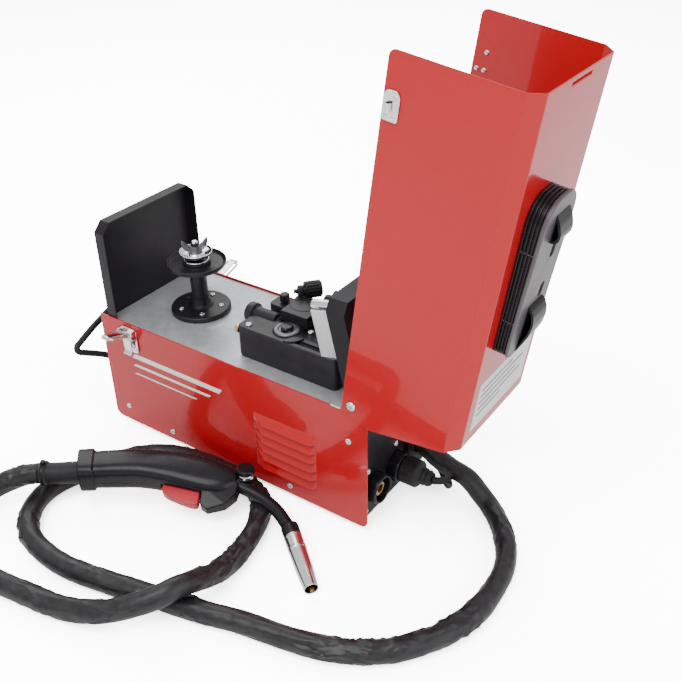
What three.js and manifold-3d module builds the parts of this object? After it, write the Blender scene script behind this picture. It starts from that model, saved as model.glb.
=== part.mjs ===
// Portable MIG welding machine with a hinged top cover, a wire feeder and spool post on the
// deck, a detachable polarity plug and a gun on a sheathed hose.
// Units are millimetres. +Z is up, the front panel faces -Y and left is -X. The origin is the
// centre of the underside of the pressed pad in the base tray. The cover is swung open.
import * as THREE from "three";
import { mergeVertices } from "three/addons/utils/BufferGeometryUtils.js";
import { ConvexGeometry } from "three/addons/geometries/ConvexGeometry.js";
import Module from "manifold-3d";

const wasm = await Module();
wasm.setup();

// ---------------------------------------------------------------- driving dimensions
const SHEET = 1.2; // sheet metal thickness
const FLOOR = -6; // floor height, under the feet
const HALF_W = 70; // outer half width over the side panels
const CASE_HALF = 68.5; // outer half width of the base tray and end panels
const CASE_INNER = CASE_HALF - SHEET;
const FRONT_Y = -172.8; // front edge of the side panels
const REAR_Y = 172.8; // rear edge of the side panels
const SIDE_TOP = 135.3; // top edge of the side panels
const DECK_TOP = 132.8; // top face of the deck plate
const ON_DECK = DECK_TOP + 0.3; // underside of the parts that stand on the deck

const HINGE_Y = -156.6; // cover hinge line
const HINGE_Z = 144.5;
const HINGE = [HINGE_Y, HINGE_Z];
const COVER_OPEN = 98.1; // opening angle, degrees
const COVER_TOP = 251.6; // outside of the closed cover's web
const COVER_HALF = 71.5; // outer half width of the cover

const PANEL_Y = -165; // outer face of the front panel, lower part
const PANEL_KNEE = 160; // height where the front panel starts to lean back
const PANEL_TOP = 243; // top of the front panel
const PANEL_TOP_Y = -145.5; // front panel face at its top
const BACK_Y = 162.3; // outer face of the rear panel

// Places on the deck, [x, y]
const POST = [0, 89.3]; // spool post axis
const DRIVE = [-28.7, -52]; // drive roll axis
const IDLER = [-2, -52]; // pressure roll axis
const ARM = [2, -96]; // pivot of the pressure arm
const DRIVE_R = 13.4;
const IDLER_R = 12.6;

// Places on the end panels and along the wire, [x, z]
const WIRE = [-15, 164]; // wire line through the feeder
const [WIRE_X, WIRE_Z] = WIRE;
const SOCKET_Z = 36;
const NEGATIVE = [-47, SOCKET_Z];
const POSITIVE = [-8, SOCKET_Z];
const GLAND = [29, 45]; // gun hose gland
const [GLAND_X, GLAND_Z] = GLAND;
const LEAD_HOLE = [53, 16]; // where the polarity lead enters the front panel
const CORD_HOLE = [-44, 62]; // mains cord gland in the rear panel
const [FAN_X, FAN_Z] = [18, 70];
const [SWITCH_X, SWITCH_Z] = [-43, 99.5];

const KNOB_X = 28; // both control knobs stand this far off centre
const HOSE_R = 11; // gun hose radius
const FINENESS = 0.7; // share of the listed facet counts that round pieces are built with
const FORWARD = [0, -1, 0];
const REARWARD = [0, 1, 0];
const SIDES = [["left", -1], ["right", 1]];

// ---------------------------------------------------------------- finishes
const RED = 0xc01a1e;
const BLACK = 0x17181b;
const PLASTIC = 0x1d1e21;
const ZINC = 0xa9adb1;
const CHROME = 0xd8dadd;
const RUBBER = 0x141416;

const FINISH = {
  trayPaint: { color: BLACK, roughness: 0.5, metalness: 0.3 },
  sidePaint: { color: RED, roughness: 0.25, metalness: 0.1 },
  coverPaint: { color: RED, roughness: 0.22, metalness: 0.1 },
  frontPaint: { color: BLACK, roughness: 0.45, metalness: 0.2 },
  rearPaint: { color: BLACK, roughness: 0.5, metalness: 0.2 },
  neckPaint: { color: BLACK, roughness: 0.4, metalness: 0.1 },
  plainZinc: { color: ZINC, roughness: 0.4, metalness: 0.8 },
  rollZinc: { color: ZINC, roughness: 0.3, metalness: 0.9 },
  boardSink: { color: ZINC, roughness: 0.35, metalness: 0.9 },
  powerSink: { color: ZINC, roughness: 0.4, metalness: 0.9 },
  driveSteel: { color: 0x2b2d31, roughness: 0.35, metalness: 0.6 },
  washerChrome: { color: CHROME, roughness: 0.12, metalness: 1 },
  brightChrome: { color: CHROME, roughness: 0.15, metalness: 1 },
  wireChrome: { color: CHROME, roughness: 0.2, metalness: 1 },
  plateChrome: { color: CHROME, roughness: 0.25, metalness: 1 },
  screwChrome: { color: CHROME, roughness: 0.3, metalness: 1 },
  brass: { color: 0xb8923f, roughness: 0.3, metalness: 1 },
  copper: { color: 0xa05a32, roughness: 0.6, metalness: 0.2 },
  board: { color: 0x1f5a37, roughness: 0.5, metalness: 0.1 },
  nutPlastic: { color: PLASTIC, roughness: 0.35, metalness: 0.2 },
  smoothPlastic: { color: PLASTIC, roughness: 0.4, metalness: 0 },
  mouldedPlastic: { color: PLASTIC, roughness: 0.42, metalness: 0 },
  carryPlastic: { color: PLASTIC, roughness: 0.45, metalness: 0 },
  panelPlastic: { color: BLACK, roughness: 0.4, metalness: 0 },
  fanPlastic: { color: BLACK, roughness: 0.5, metalness: 0 },
  rockerRed: { color: 0xb01818, roughness: 0.3, metalness: 0 },
  triggerRed: { color: 0xb3202a, roughness: 0.35, metalness: 0 },
  cordRubber: { color: RUBBER, roughness: 0.5, metalness: 0 },
  hoseRubber: { color: RUBBER, roughness: 0.55, metalness: 0 },
  softRubber: { color: RUBBER, roughness: 0.6, metalness: 0 },
  footRubber: { color: RUBBER, roughness: 0.85, metalness: 0 },
};

// ---------------------------------------------------------------- solid helpers
const radians = (degrees) => (degrees * Math.PI) / 180;
const facets = (count) => Math.max(8, Math.round(count * FINENESS));
const union = (...parts) => parts.reduce((whole, part) => whole.add(part));
const cut = (body, ...tools) => tools.reduce((rest, tool) => rest.subtract(tool), body);

function manifold(positions, triangles) {
  return new wasm.Manifold(
    new wasm.Mesh({
      numProp: 3,
      vertProperties: new Float32Array(positions),
      triVerts: new Uint32Array(triangles),
    }),
  );
}

function solid(source) {
  const loose = source.index ? source.toNonIndexed() : source;
  const bare = new THREE.BufferGeometry();
  bare.setAttribute("position", loose.getAttribute("position"));
  const merged = mergeVertices(bare, 1e-4);
  return manifold(merged.attributes.position.array, merged.index.array);
}

function geometry(body) {
  const mesh = body.getMesh();
  const result = new THREE.BufferGeometry()
    .setAttribute("position", new THREE.BufferAttribute(new Float32Array(mesh.vertProperties), 3))
    .setIndex(new THREE.BufferAttribute(new Uint32Array(mesh.triVerts), 1));
  result.computeVertexNormals();
  return result;
}

function flipFaces(triangles) {
  for (let i = 0; i < triangles.length; i += 3) {
    [triangles[i + 1], triangles[i + 2]] = [triangles[i + 2], triangles[i + 1]];
  }
}

// the same body on the other side of the YZ plane
function mirroredX(body) {
  const source = geometry(body);
  source.applyMatrix4(new THREE.Matrix4().makeScale(-1, 1, 1));
  flipFaces(source.index.array);
  return solid(source);
}

// build(flipped) makes a body; the flipped one is taken when the first comes out inside out
function facingOut(build) {
  const body = build(false);
  return body.volume() < 0 ? build(true) : body;
}

function box(minX, maxX, minY, maxY, minZ, maxZ) {
  const block = new THREE.BoxGeometry(maxX - minX, maxY - minY, maxZ - minZ);
  block.translate((minX + maxX) / 2, (minY + maxY) / 2, (minZ + maxZ) / 2);
  return solid(block);
}

// rotation that takes +Y to the direction
function fromY(direction) {
  return new THREE.Quaternion().setFromUnitVectors(
    new THREE.Vector3(0, 1, 0),
    new THREE.Vector3(...direction).normalize(),
  );
}

// closed cylinder between two points
function rod(start, end, radius, sides) {
  const span = new THREE.Vector3(...end).sub(new THREE.Vector3(...start));
  const length = span.length();
  const cylinder = new THREE.CylinderGeometry(radius, radius, length, facets(sides));
  cylinder.translate(0, length / 2, 0);
  cylinder.applyQuaternion(fromY(span));
  cylinder.translate(...start);
  return solid(cylinder);
}
const rodX = ([y, z], fromX, toX, radius, sides) =>
  rod([fromX, y, z], [toX, y, z], radius, sides);
const rodY = ([x, z], start, end, radius, sides) =>
  rod([x, start, z], [x, end, z], radius, sides);
const rodZ = ([x, y], fromZ, toZ, radius, sides) =>
  rod([x, y, fromZ], [x, y, toZ], radius, sides);

// turned part: profile of [radius, height] pairs, which closes on the axis or on itself
function turned(profile, sides, place, direction = [0, 0, 1]) {
  return facingOut((flipped) => {
    const points = profile.map((point) => new THREE.Vector2(...point));
    if (flipped) points.reverse();
    const lathe = new THREE.LatheGeometry(points, facets(sides));
    lathe.applyQuaternion(fromY(direction));
    lathe.translate(...place);
    return solid(lathe);
  });
}

function prism(outline, depth, placement) {
  const shape = new THREE.Shape(outline.map((point) => new THREE.Vector2(...point)));
  const extrusion = new THREE.ExtrudeGeometry(shape, { depth, bevelEnabled: false });
  return solid(extrusion.applyMatrix4(placement));
}
// prism of a [y, z] outline
function prismX(outline, minX, maxX) {
  const placement = new THREE.Matrix4();
  placement.set(0, 0, 1, minX, 1, 0, 0, 0, 0, 1, 0, 0, 0, 0, 0, 1);
  return prism(outline, maxX - minX, placement);
}
// prism of an [x, z] outline
function prismY(outline, minY, maxY) {
  const placement = new THREE.Matrix4();
  placement.set(1, 0, 0, 0, 0, 0, -1, maxY, 0, 1, 0, 0, 0, 0, 0, 1);
  return prism(outline, maxY - minY, placement);
}
// prism of an [x, y] outline
function prismZ(outline, minZ, maxZ) {
  return prism(outline, maxZ - minZ, new THREE.Matrix4().makeTranslation(0, 0, minZ));
}

function hull(points) {
  return solid(new ConvexGeometry(points.map((point) => new THREE.Vector3(...point))));
}

// every combination of three lists of coordinates, run through place()
function corners(place, firsts, seconds, thirds) {
  return firsts.flatMap((first) =>
    seconds.flatMap((second) => thirds.map((third) => place(first, second, third))),
  );
}

function quarterArc(centreX, centreY, radius, startDegrees, steps) {
  const points = [];
  for (let i = 0; i <= steps; i++) {
    const angle = radians(startDegrees + (90 * i) / steps);
    points.push([centreX + radius * Math.cos(angle), centreY + radius * Math.sin(angle)]);
  }
  return points;
}

function roundedRect(minX, maxX, minY, maxY, radius, steps = 3) {
  return [
    ...quarterArc(maxX - radius, maxY - radius, radius, 0, steps),
    ...quarterArc(minX + radius, maxY - radius, radius, 90, steps),
    ...quarterArc(minX + radius, minY + radius, radius, 180, steps),
    ...quarterArc(maxX - radius, minY + radius, radius, 270, steps),
  ];
}

// symmetric [x, z] outline with both top corners chamfered between shoulder and top
function chamferedSection({ half, bottom, shoulder, topHalf, top }) {
  return [
    [-half, bottom], [half, bottom], [half, shoulder],
    [topHalf, top], [-topHalf, top], [-half, shoulder],
  ];
}

// round tube along a smooth curve through the points
function tube(points, radius, steps, sides) {
  const path = new THREE.CatmullRomCurve3(
    points.map((point) => new THREE.Vector3(...point)),
    false,
    "centripetal",
  );
  const circle = [];
  for (let i = 0; i < sides; i++) {
    const angle = (2 * Math.PI * i) / sides;
    circle.push(new THREE.Vector2(radius * Math.cos(angle), radius * Math.sin(angle)));
  }
  const options = { steps, bevelEnabled: false, extrudePath: path };
  return solid(new THREE.ExtrudeGeometry(new THREE.Shape(circle), options));
}

// Skin over a row of closed rings. A ring is an ellipse about its centre along the directions
// width and height; a squareness below 1 pushes it towards a rectangle.
function loft(rings, sides) {
  const positions = [];
  const triangles = [];
  const shaped = (value, power) => Math.sign(value) * Math.pow(Math.abs(value), power);
  for (const ring of rings) {
    for (let i = 0; i < sides; i++) {
      const angle = (2 * Math.PI * i) / sides;
      const across = ring.halfWidth * shaped(Math.cos(angle), ring.squareness);
      const upward = ring.halfHeight * shaped(Math.sin(angle), ring.squareness);
      for (let k = 0; k < 3; k++) {
        positions.push(ring.centre[k] + ring.width[k] * across + ring.height[k] * upward);
      }
    }
  }
  const last = rings.length - 1;
  for (let j = 0; j < last; j++) {
    for (let i = 0; i < sides; i++) {
      const here = j * sides + i;
      const next = j * sides + ((i + 1) % sides);
      triangles.push(here, next, next + sides, here, next + sides, here + sides);
    }
  }
  for (const j of [0, last]) {
    const hub = positions.length / 3;
    positions.push(...rings[j].centre);
    for (let i = 0; i < sides; i++) {
      const here = j * sides + i;
      const next = j * sides + ((i + 1) % sides);
      triangles.push(hub, ...(j === 0 ? [next, here] : [here, next]));
    }
  }
  return facingOut((flipped) => {
    if (flipped) flipFaces(triangles);
    return manifold(positions, triangles);
  });
}

// a rotation carried out about the point x, y, z
function turnAbout(x, y, z, rotation) {
  return new THREE.Matrix4()
    .makeTranslation(x, y, z)
    .multiply(rotation)
    .multiply(new THREE.Matrix4().makeTranslation(-x, -y, -z));
}

const group = new THREE.Group();
group.name = "mig_welding_machine";
const cover = new THREE.Group(); // everything that swings with the cover
group.add(cover);
const coverSwing = new THREE.Matrix4().makeRotationX(radians(COVER_OPEN));
cover.applyMatrix4(turnAbout(0, HINGE_Y, HINGE_Z, coverSwing));

function put(name, body, finish, parent = group) {
  const mesh = new THREE.Mesh(geometry(body), new THREE.MeshStandardMaterial(finish));
  mesh.name = name;
  parent.add(mesh);
}

// ---------------------------------------------------------------- base tray and feet
const FOOT_X = 54;
const FOOT_Y = 140;

function baseTray() {
  const tray = union(
    box(-CASE_HALF, CASE_HALF, -163.4, 158, SHEET, 2 * SHEET),
    box(-42, 42, -118, 118, 0, 1.4), // pressed pad
    box(-CASE_HALF, -CASE_INNER, -144, 148, 1.3, 24),
    box(CASE_INNER, CASE_HALF, -144, 148, 1.3, 24),
  );
  // cooling slots beside the pad
  const slots = [];
  for (let i = 0; i < 4; i++) {
    const y = -70 + i * 40;
    slots.push(box(-60, -50, y, y + 22, -1, 4), box(50, 60, y, y + 22, -1, 4));
  }
  return cut(tray, ...slots);
}
put("base_tray", baseTray(), FINISH.trayPaint);

const FOOT_PROFILE = [
  [0, 0.9], [9.5, 0.9], [8, FLOOR], [3.2, FLOOR], [3.2, -2.5], [0, -2.5],
];
for (const [end, signY] of [["front", -1], ["rear", 1]]) {
  for (const [side, signX] of SIDES) {
    const foot = turned(FOOT_PROFILE, 18, [signX * FOOT_X, signY * FOOT_Y, 0]);
    put(`foot_${end}_${side}`, foot, FINISH.footRubber);
  }
}

// ---------------------------------------------------------------- side panels
const SIDE_CORNER = 8; // radius of the lower corners
const LOUVRES = 6;
const LOUVRE_PITCH = 11.1;
const LOUVRE_Z0 = 23; // lowest louvre lip
const LOUVRE_H = 9.2;
const LOUVRE_OUT = 5; // how far a lip stands out
const LOUVRE_FRONT = -112.5;
const LOUVRE_REAR = -37;

// hull of [x, inset from both ends of the louvre, z] rows
function louvreHull(rows) {
  return hull(
    rows.flatMap(([x, inset, z]) => [
      [x, LOUVRE_FRONT + inset, z],
      [x, LOUVRE_REAR - inset, z],
    ]),
  );
}

// the left panel, with pressed louvres: hoods that rise from the sheet to an open lip
function leftPanel() {
  const outline = [
    [REAR_Y, SIDE_TOP],
    [FRONT_Y, SIDE_TOP],
    ...quarterArc(FRONT_Y + SIDE_CORNER, SIDE_CORNER, SIDE_CORNER, 180, 4),
    ...quarterArc(REAR_Y - SIDE_CORNER, SIDE_CORNER, SIDE_CORNER, -90, 4),
  ];
  const face = -HALF_W;
  const lip = face - LOUVRE_OUT;
  let panel = prismX(outline, face, face + SHEET);
  for (let i = 0; i < LOUVRES; i++) {
    const low = LOUVRE_Z0 + i * LOUVRE_PITCH;
    const high = low + LOUVRE_H;
    const hood = louvreHull([
      [face + 0.5, 2.5, high], [face + 0.5, 0, low],
      [face, 2.5, high], [face, 0, low],
      [lip, 6, low], [lip, 6, low + 0.8],
    ]);
    const hollow = louvreHull([
      [face + 2, 4.5, high - 1.9], [face + 2, 2.2, low - 0.4],
      [face, 4.5, high - 1.9], [face, 2.2, low - 0.4],
      [lip + 1, 7, low - 0.4], [lip + 1, 7, low + 0.9],
    ]);
    panel = cut(panel.add(hood), hollow);
  }
  return panel;
}
put("side_panel_left", leftPanel(), FINISH.sidePaint);
put("side_panel_right", mirroredX(leftPanel()), FINISH.sidePaint);

// ---------------------------------------------------------------- deck
const DECK_HALF = 68.4;

function deckPlate() {
  const under = DECK_TOP - SHEET;
  const lip = DECK_HALF - SHEET;
  return cut(
    union(
      box(-DECK_HALF, DECK_HALF, -144, 147.8, under, DECK_TOP),
      box(-66.6, 66.6, -163.2, 160.6, under, DECK_TOP), // runs out to the end panels
      box(-DECK_HALF, -lip, -143, 147, 112, DECK_TOP - 0.5),
      box(lip, DECK_HALF, -143, 147, 112, DECK_TOP - 0.5),
    ),
    rodZ(DRIVE, 120, 140, 14, 20), // motor neck
    prismZ(roundedRect(-14, 12, -160, -138, 5), 120, 140), // conduit pass
    rodZ(POST, 120, 140, 4, 12),
  );
}
put("deck_plate", deckPlate(), FINISH.plainZinc);

// ---------------------------------------------------------------- front panel
const FRONT_FLANGE = 19.5; // folded flange depth
const PANEL_CHAMFER = 9.5; // chamfer of the top corners

// wedge beyond one chamfered top corner, moved inwards by the inset
function frontCorner(sign, inset) {
  const reach = PANEL_CHAMFER + inset * 1.4142;
  return prismY(
    [
      [sign * (CASE_HALF - reach), PANEL_TOP + 0.01],
      [sign * 80, PANEL_TOP + 0.01],
      [sign * 80, PANEL_TOP - reach - 0.2],
      [sign * (CASE_HALF + 0.01), PANEL_TOP - reach],
    ],
    -190,
    -100,
  );
}

const panelHole = (place, radius, sides) =>
  rodY(place, PANEL_Y - 5, PANEL_Y + 5, radius, sides);

function frontPanel() {
  const slope = (PANEL_TOP_Y - PANEL_Y) / (PANEL_TOP - PANEL_KNEE);
  const flangeY = PANEL_Y + FRONT_FLANGE;
  const outer = prismX(
    [
      [PANEL_Y, 3],
      [flangeY, 3],
      [flangeY, PANEL_KNEE],
      [PANEL_TOP_Y + FRONT_FLANGE, PANEL_TOP],
      [PANEL_TOP_Y, PANEL_TOP],
      [PANEL_Y, PANEL_KNEE],
    ],
    -CASE_HALF,
    CASE_HALF,
  );
  // runs past the flanges at the rear so that they stay open
  const topShift = SHEET * slope;
  const inner = prismX(
    [
      [PANEL_Y + SHEET, 1],
      [flangeY + 9, 1],
      [flangeY + 9, PANEL_KNEE],
      [PANEL_TOP_Y + FRONT_FLANGE + 9 - topShift, PANEL_TOP - SHEET],
      [PANEL_TOP_Y + SHEET - topShift, PANEL_TOP - SHEET],
      [PANEL_Y + SHEET, PANEL_KNEE],
    ],
    -CASE_INNER,
    CASE_INNER,
  );
  // the chamfered corners keep a folded strip of sheet
  const hollow = cut(inner, frontCorner(1, SHEET), frontCorner(-1, SHEET));
  return cut(
    outer,
    hollow,
    frontCorner(1, 0),
    frontCorner(-1, 0),
    panelHole(NEGATIVE, 12.3, 20),
    panelHole(POSITIVE, 12.3, 20),
    panelHole(GLAND, 13.3, 20),
    panelHole(LEAD_HOLE, 6.3, 14),
    box(-22, 22, -175, -140, 206, 226), // display window
    ...[-KNOB_X, KNOB_X].map((x) => rodY([x, 183], -175, -140, 3.6, 12)), // knob spindles
    ...[-1, 1].map((sign) => rodX(HINGE, sign * 75, sign * 60, 2.7, 12)), // hinge screws
  );
}
put("front_panel", frontPanel(), FINISH.frontPaint);

// ---------------------------------------------------------------- rear panel
const BACK_TOP = 243.5;
const BACK_FLANGE = 13; // folded flange depth
const BACK_CHAMFER = 10;
const GRILLE_R = 36; // the fan slots end on this circle
const GRILLE_PITCH = 8;

function rearPanel() {
  const flangeY = BACK_Y - BACK_FLANGE;
  const outer = chamferedSection({
    half: CASE_HALF,
    bottom: 3,
    shoulder: BACK_TOP - BACK_CHAMFER,
    topHalf: CASE_HALF - BACK_CHAMFER,
    top: BACK_TOP,
  });
  const inner = chamferedSection({
    half: CASE_INNER,
    bottom: 1,
    shoulder: BACK_TOP - BACK_CHAMFER - 0.5,
    topHalf: CASE_HALF - BACK_CHAMFER - 0.5,
    top: BACK_TOP - SHEET,
  });
  // upright slots in front of the fan, parted by a bar across the middle
  const slots = [];
  for (let i = -4; i <= 4; i++) {
    const offset = i * GRILLE_PITCH;
    const height = Math.sqrt(GRILLE_R * GRILLE_R - offset * offset);
    const minX = FAN_X + offset - 2.5;
    const maxX = FAN_X + offset + 2.5;
    slots.push(
      box(minX, maxX, 150, 170, FAN_Z + 3, FAN_Z + height),
      box(minX, maxX, 150, 170, FAN_Z - height, FAN_Z - 3),
    );
  }
  return cut(
    prismY(outer, flangeY, BACK_Y),
    prismY(inner, flangeY - 4, BACK_Y - SHEET),
    ...slots,
    switchBlock(13.5, 11, 158, 166),
    rodY(CORD_HOLE, 158, 166, 7.3, 16),
    rodY([-44, 30], 158, 166, 4.3, 12), // shielding gas inlet
  );
}

// block centred on the power switch
function switchBlock(halfX, halfZ, minY, maxY) {
  return box(
    SWITCH_X - halfX, SWITCH_X + halfX, minY, maxY, SWITCH_Z - halfZ, SWITCH_Z + halfZ,
  );
}
put("rear_panel", rearPanel(), FINISH.rearPaint);

// ---------------------------------------------------------------- spool holder
const onPost = (profile, sides) => turned(profile, sides, [...POST, 0]);
const THREAD_R = 4; // threaded top of the post

const POST_PROFILE = [
  [0, ON_DECK], [29.5, ON_DECK], [32.5, 134.6], [32.5, 137.4], [31, 138.6], [12.5, 138.6],
  [9.6, 142], [8.6, 150], [8.3, 184], [THREAD_R, 184.2], [THREAD_R, 212.5], [3.2, 213.3],
  [0, 213.3],
];
put("spool_post", onPost(POST_PROFILE, 28), FINISH.smoothPlastic);

const DISC_PROFILE = [
  [4.35, 184.6], [12, 184.6], [25, 186.4], [30.5, 187.8], [31.8, 191.6], [31, 192.6],
  [29.6, 191.8], [28.6, 189.4], [15, 188.6], [14.6, 192.6], [4.35, 192.6], [4.35, 184.6],
];
put("spool_disc", onPost(DISC_PROFILE, 32), FINISH.smoothPlastic);

const SPRING_PROFILE = [
  [11.4, 193.2], [14.4, 193.2], [14.9, 194.1], [14.4, 195], [11.4, 195], [11.4, 193.2],
];
put("brake_spring", onPost(SPRING_PROFILE, 28), FINISH.brightChrome);

const WASHER_PROFILE = [
  [4.3, 195.4], [9, 195.4], [10, 198.6], [16.4, 200.6], [17.6, 203.8], [16.6, 204.2],
  [15.2, 202.2], [9, 200.4], [7.6, 202.4], [4.3, 202.4], [4.3, 195.4],
];
put("cup_washer", onPost(WASHER_PROFILE, 28), FINISH.washerChrome);

const WING_ANGLE = radians(40);
// corners of a wing: radius from the post, half thickness, z
const WING_CORNERS = [
  [5.2, 1.6, 203.6], [5.2, 1.6, 209.6], [13.2, 1.7, 211.2],
  [14.4, 1.4, 217], [9.8, 1.3, 218.4], [12.8, 1.3, 219],
];

function wing(sign) {
  const cosine = Math.cos(WING_ANGLE);
  const sine = Math.sin(WING_ANGLE);
  return hull(
    WING_CORNERS.flatMap(([radius, half, z]) =>
      [-half, half].map((offset) => [
        POST[0] + sign * (radius * cosine - offset * sine),
        POST[1] + sign * (radius * sine + offset * cosine),
        z,
      ]),
    ),
  );
}

function wingNut() {
  const hub = onPost([[4.25, 202.9], [7, 202.9], [6.4, 210.4], [4.25, 210.4], [4.25, 202.9]], 18);
  return union(hub, wing(1), wing(-1));
}
put("wing_nut", wingNut(), FINISH.nutPlastic);

// ---------------------------------------------------------------- wire feeder
const FEEDER_LEFT = -48.5;
const FEEDER_FRONT = -124;
const FEEDER_REAR = -3.5;
const FEEDER_RIGHT = 22;
const SEAT_R = 8.2; // seat of the inlet guide

// moulded housing: a tall left block with the drive roll pocket, and a low right shelf
function feederBody() {
  const base = roundedRect(FEEDER_LEFT, FEEDER_RIGHT, FEEDER_FRONT, FEEDER_REAR, 7);
  const block = roundedRect(FEEDER_LEFT, -8.5, FEEDER_FRONT, FEEDER_REAR, 6);
  const bevelledTop = hull([
    [-48.2, -5, 163], [-48.2, -122.5, 163], [-8.8, -122.5, 163], [-8.8, -5, 163],
    [-46, -7, 167.6], [-46, -120.5, 167.6], [-10.5, -120.5, 167.6], [-10.5, -7, 167.6],
  ]);
  const thumbScrew = turned(
    [[0, 167], [3, 167], [3, 169.5], [5.2, 170], [5.2, 177], [4.4, 178], [0, 178]],
    14,
    [14, -17, 0],
  );
  const body = cut(
    union(
      prismZ(base, ON_DECK, 154),
      prismZ(block, 150, 165),
      bevelledTop,
      prismZ(roundedRect(3, FEEDER_RIGHT, -26, -3.6, 5), 150, 168), // lug under the screw
      thumbScrew,
    ),
    rodZ(DRIVE, 150, 180, DRIVE_R + 0.9, 28), // drive roll pocket
    rodZ(IDLER, 154, 180, IDLER_R + 1.3, 28), // pressure roll pocket
    rodZ(DRIVE, 125, 152, 6, 14), // drive shaft
    rodY(WIRE, -130, 5, 2.2, 10), // wire passage
    rodY(WIRE, -30, 5, SEAT_R, 20), // seat of the inlet guide, open upwards
    box(WIRE_X - SEAT_R, WIRE_X + SEAT_R, -30, 5, WIRE_Z, 180),
    box(WIRE_X - 2.2, WIRE_X + 12, -68, -36, 156, 180), // gap between the rolls
  );
  // pivot pin of the pressure arm and its head
  return union(body, rodZ(ARM, 152, 178.2, 3, 14), rodZ(ARM, 177, 178.8, 5, 14));
}
put("feeder_body", feederBody(), FINISH.mouldedPlastic);

function inletGuide() {
  const collar = turned(
    [[0, 0], [9.2, 0], [10.6, 1.2], [10.6, 8.4], [9.6, 9.6], [0, 9.6]],
    24,
    [WIRE_X, -3.2, WIRE_Z],
    REARWARD,
  );
  return cut(
    union(rodY(WIRE, -29.6, -7.5, 7.9, 20), collar, rodY(WIRE, -8, -3, 7.9, 20)),
    rodY(WIRE, -40, 20, 1.6, 8),
  );
}
put("inlet_guide", inletGuide(), FINISH.mouldedPlastic);

const MOTOR_PROFILE = [[0, 56], [16, 56], [17.5, 57.5], [17.5, 100], [0, 100]];
const GEARBOX_PROFILE = [
  [0, 99], [20.5, 99], [20.5, 126], [13, 126], [13, 130.8], [5, 130.8], [5, 149.6], [0, 149.6],
];
const onDrive = (profile, sides) => turned(profile, sides, [...DRIVE, 0]);
put(
  "feed_motor",
  union(onDrive(MOTOR_PROFILE, 20), onDrive(GEARBOX_PROFILE, 20)),
  FINISH.plainZinc,
);

// the wire groove lies at the height of the wire
const DRIVE_PROFILE = [
  [0, 150.4], [6, 150.4], [6, 157], [DRIVE_R, 157], [DRIVE_R, 162.6], [DRIVE_R - 1, WIRE_Z],
  [DRIVE_R, 165.4], [DRIVE_R, 169], [DRIVE_R - 1.2, 170], [5.6, 170], [5, 171.4], [0, 171.4],
];
put("drive_roll", onDrive(DRIVE_PROFILE, 28), FINISH.driveSteel);

// The adjusting screw lies flat, turned away from the wire line
const SCREW_Z = 185;
const SCREW_COS = 0.751;
const SCREW_SIN = 0.66;
const screwAt = (along, across, z) => [
  17.4 + SCREW_COS * along + SCREW_SIN * across,
  -34.4 - SCREW_SIN * along + SCREW_COS * across,
  z,
];

// [x, y] outline of the plate over the pressure roll
const ARM_OUTLINE = [
  [12, -101], [18, -84], [19, -62], [24, -44], [26, -33], [21, -28.6], [8, -30],
  [-6, -37], [-13, -46], [-13.5, -56], [-9, -66], [-6, -82], [-6, -99], [2, -104],
];
// upright ear that carries the adjusting screw: z, then its edges across the screw
const EAR_LEVELS = [[175, -7, 4], [188, -6, 4.5], [191, -3, 2.5]];

function pressureArm() {
  const ear = hull(
    EAR_LEVELS.flatMap(([z, from, to]) => corners(screwAt, [-2.5, 2.5], [from, to], [z])),
  );
  return cut(
    union(
      prismZ(ARM_OUTLINE, 171.9, 176.6),
      rodZ(ARM, 154.4, 176.6, 7.2, 18), // hub on the pivot pin
      rodZ(IDLER, 157, 172.4, 3, 14), // axle of the pressure roll
      ear,
    ),
    rodZ(ARM, 140, 190, 3.3, 14),
    rod(screwAt(-12, 0, SCREW_Z), screwAt(12, 0, SCREW_Z), 2.7, 12),
  );
}
put("pressure_arm", pressureArm(), FINISH.mouldedPlastic);

const IDLER_PROFILE = [
  [3.3, 157.4], [8, 157.4], [8, 158.6], [IDLER_R, 158.6], [IDLER_R, 169.4],
  [8, 169.4], [8, 171.2], [3.3, 171.2], [3.3, 157.4],
];
put("pressure_roll", turned(IDLER_PROFILE, 26, [...IDLER, 0]), FINISH.rollZinc);

const TENSION_PROFILE = [
  [0, -6.5], [2.3, -6.5], [2.3, 3], [5.2, 3], [7.6, 4.4], [7.6, 21], [6.4, 22.5], [0, 22.5],
];
put(
  "tension_knob",
  turned(TENSION_PROFILE, 18, screwAt(0, 0, SCREW_Z), [SCREW_COS, -SCREW_SIN, 0]),
  FINISH.smoothPlastic,
);

// x, y, z from the feeder through the deck down to the hose gland
const CONDUIT_PATH = [
  [WIRE_X, -124.6, WIRE_Z], [WIRE_X, -131, WIRE_Z - 0.5], [-13, -141, 156], [-6, -148, 142],
  [-1, -149.5, 128], [8, -149, 100], [20, -148, 72], [28, -150, 54], [GLAND_X, -157, GLAND_Z],
];
put("wire_conduit", tube(CONDUIT_PATH, 4.5, 22, 8), FINISH.softRubber);

// ---------------------------------------------------------------- control board and knobs
const LEAN = Math.atan2(PANEL_TOP_Y - PANEL_Y, PANEL_TOP - PANEL_KNEE);
const LEAN_NORMAL = [0, -Math.cos(LEAN), Math.sin(LEAN)];
const KNOB_UP = 23.6; // knob axes, measured up the leaning panel
const BOARD_FRONT = 17; // distance behind the panel's outer face

// up runs up the leaning panel from its knee, back runs back from its outer face
function leanPoint(x, up, back) {
  return [
    x,
    PANEL_Y + up * Math.sin(LEAN) + back * Math.cos(LEAN),
    PANEL_KNEE + up * Math.cos(LEAN) - back * Math.sin(LEAN),
  ];
}
const leanBox = (minX, maxX, low, high, near, far) =>
  hull(corners(leanPoint, [minX, maxX], [low, high], [near, far]));
const leanRod = (x, up, from, to, radius, sides) =>
  rod(leanPoint(x, up, from), leanPoint(x, up, to), radius, sides);

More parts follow.
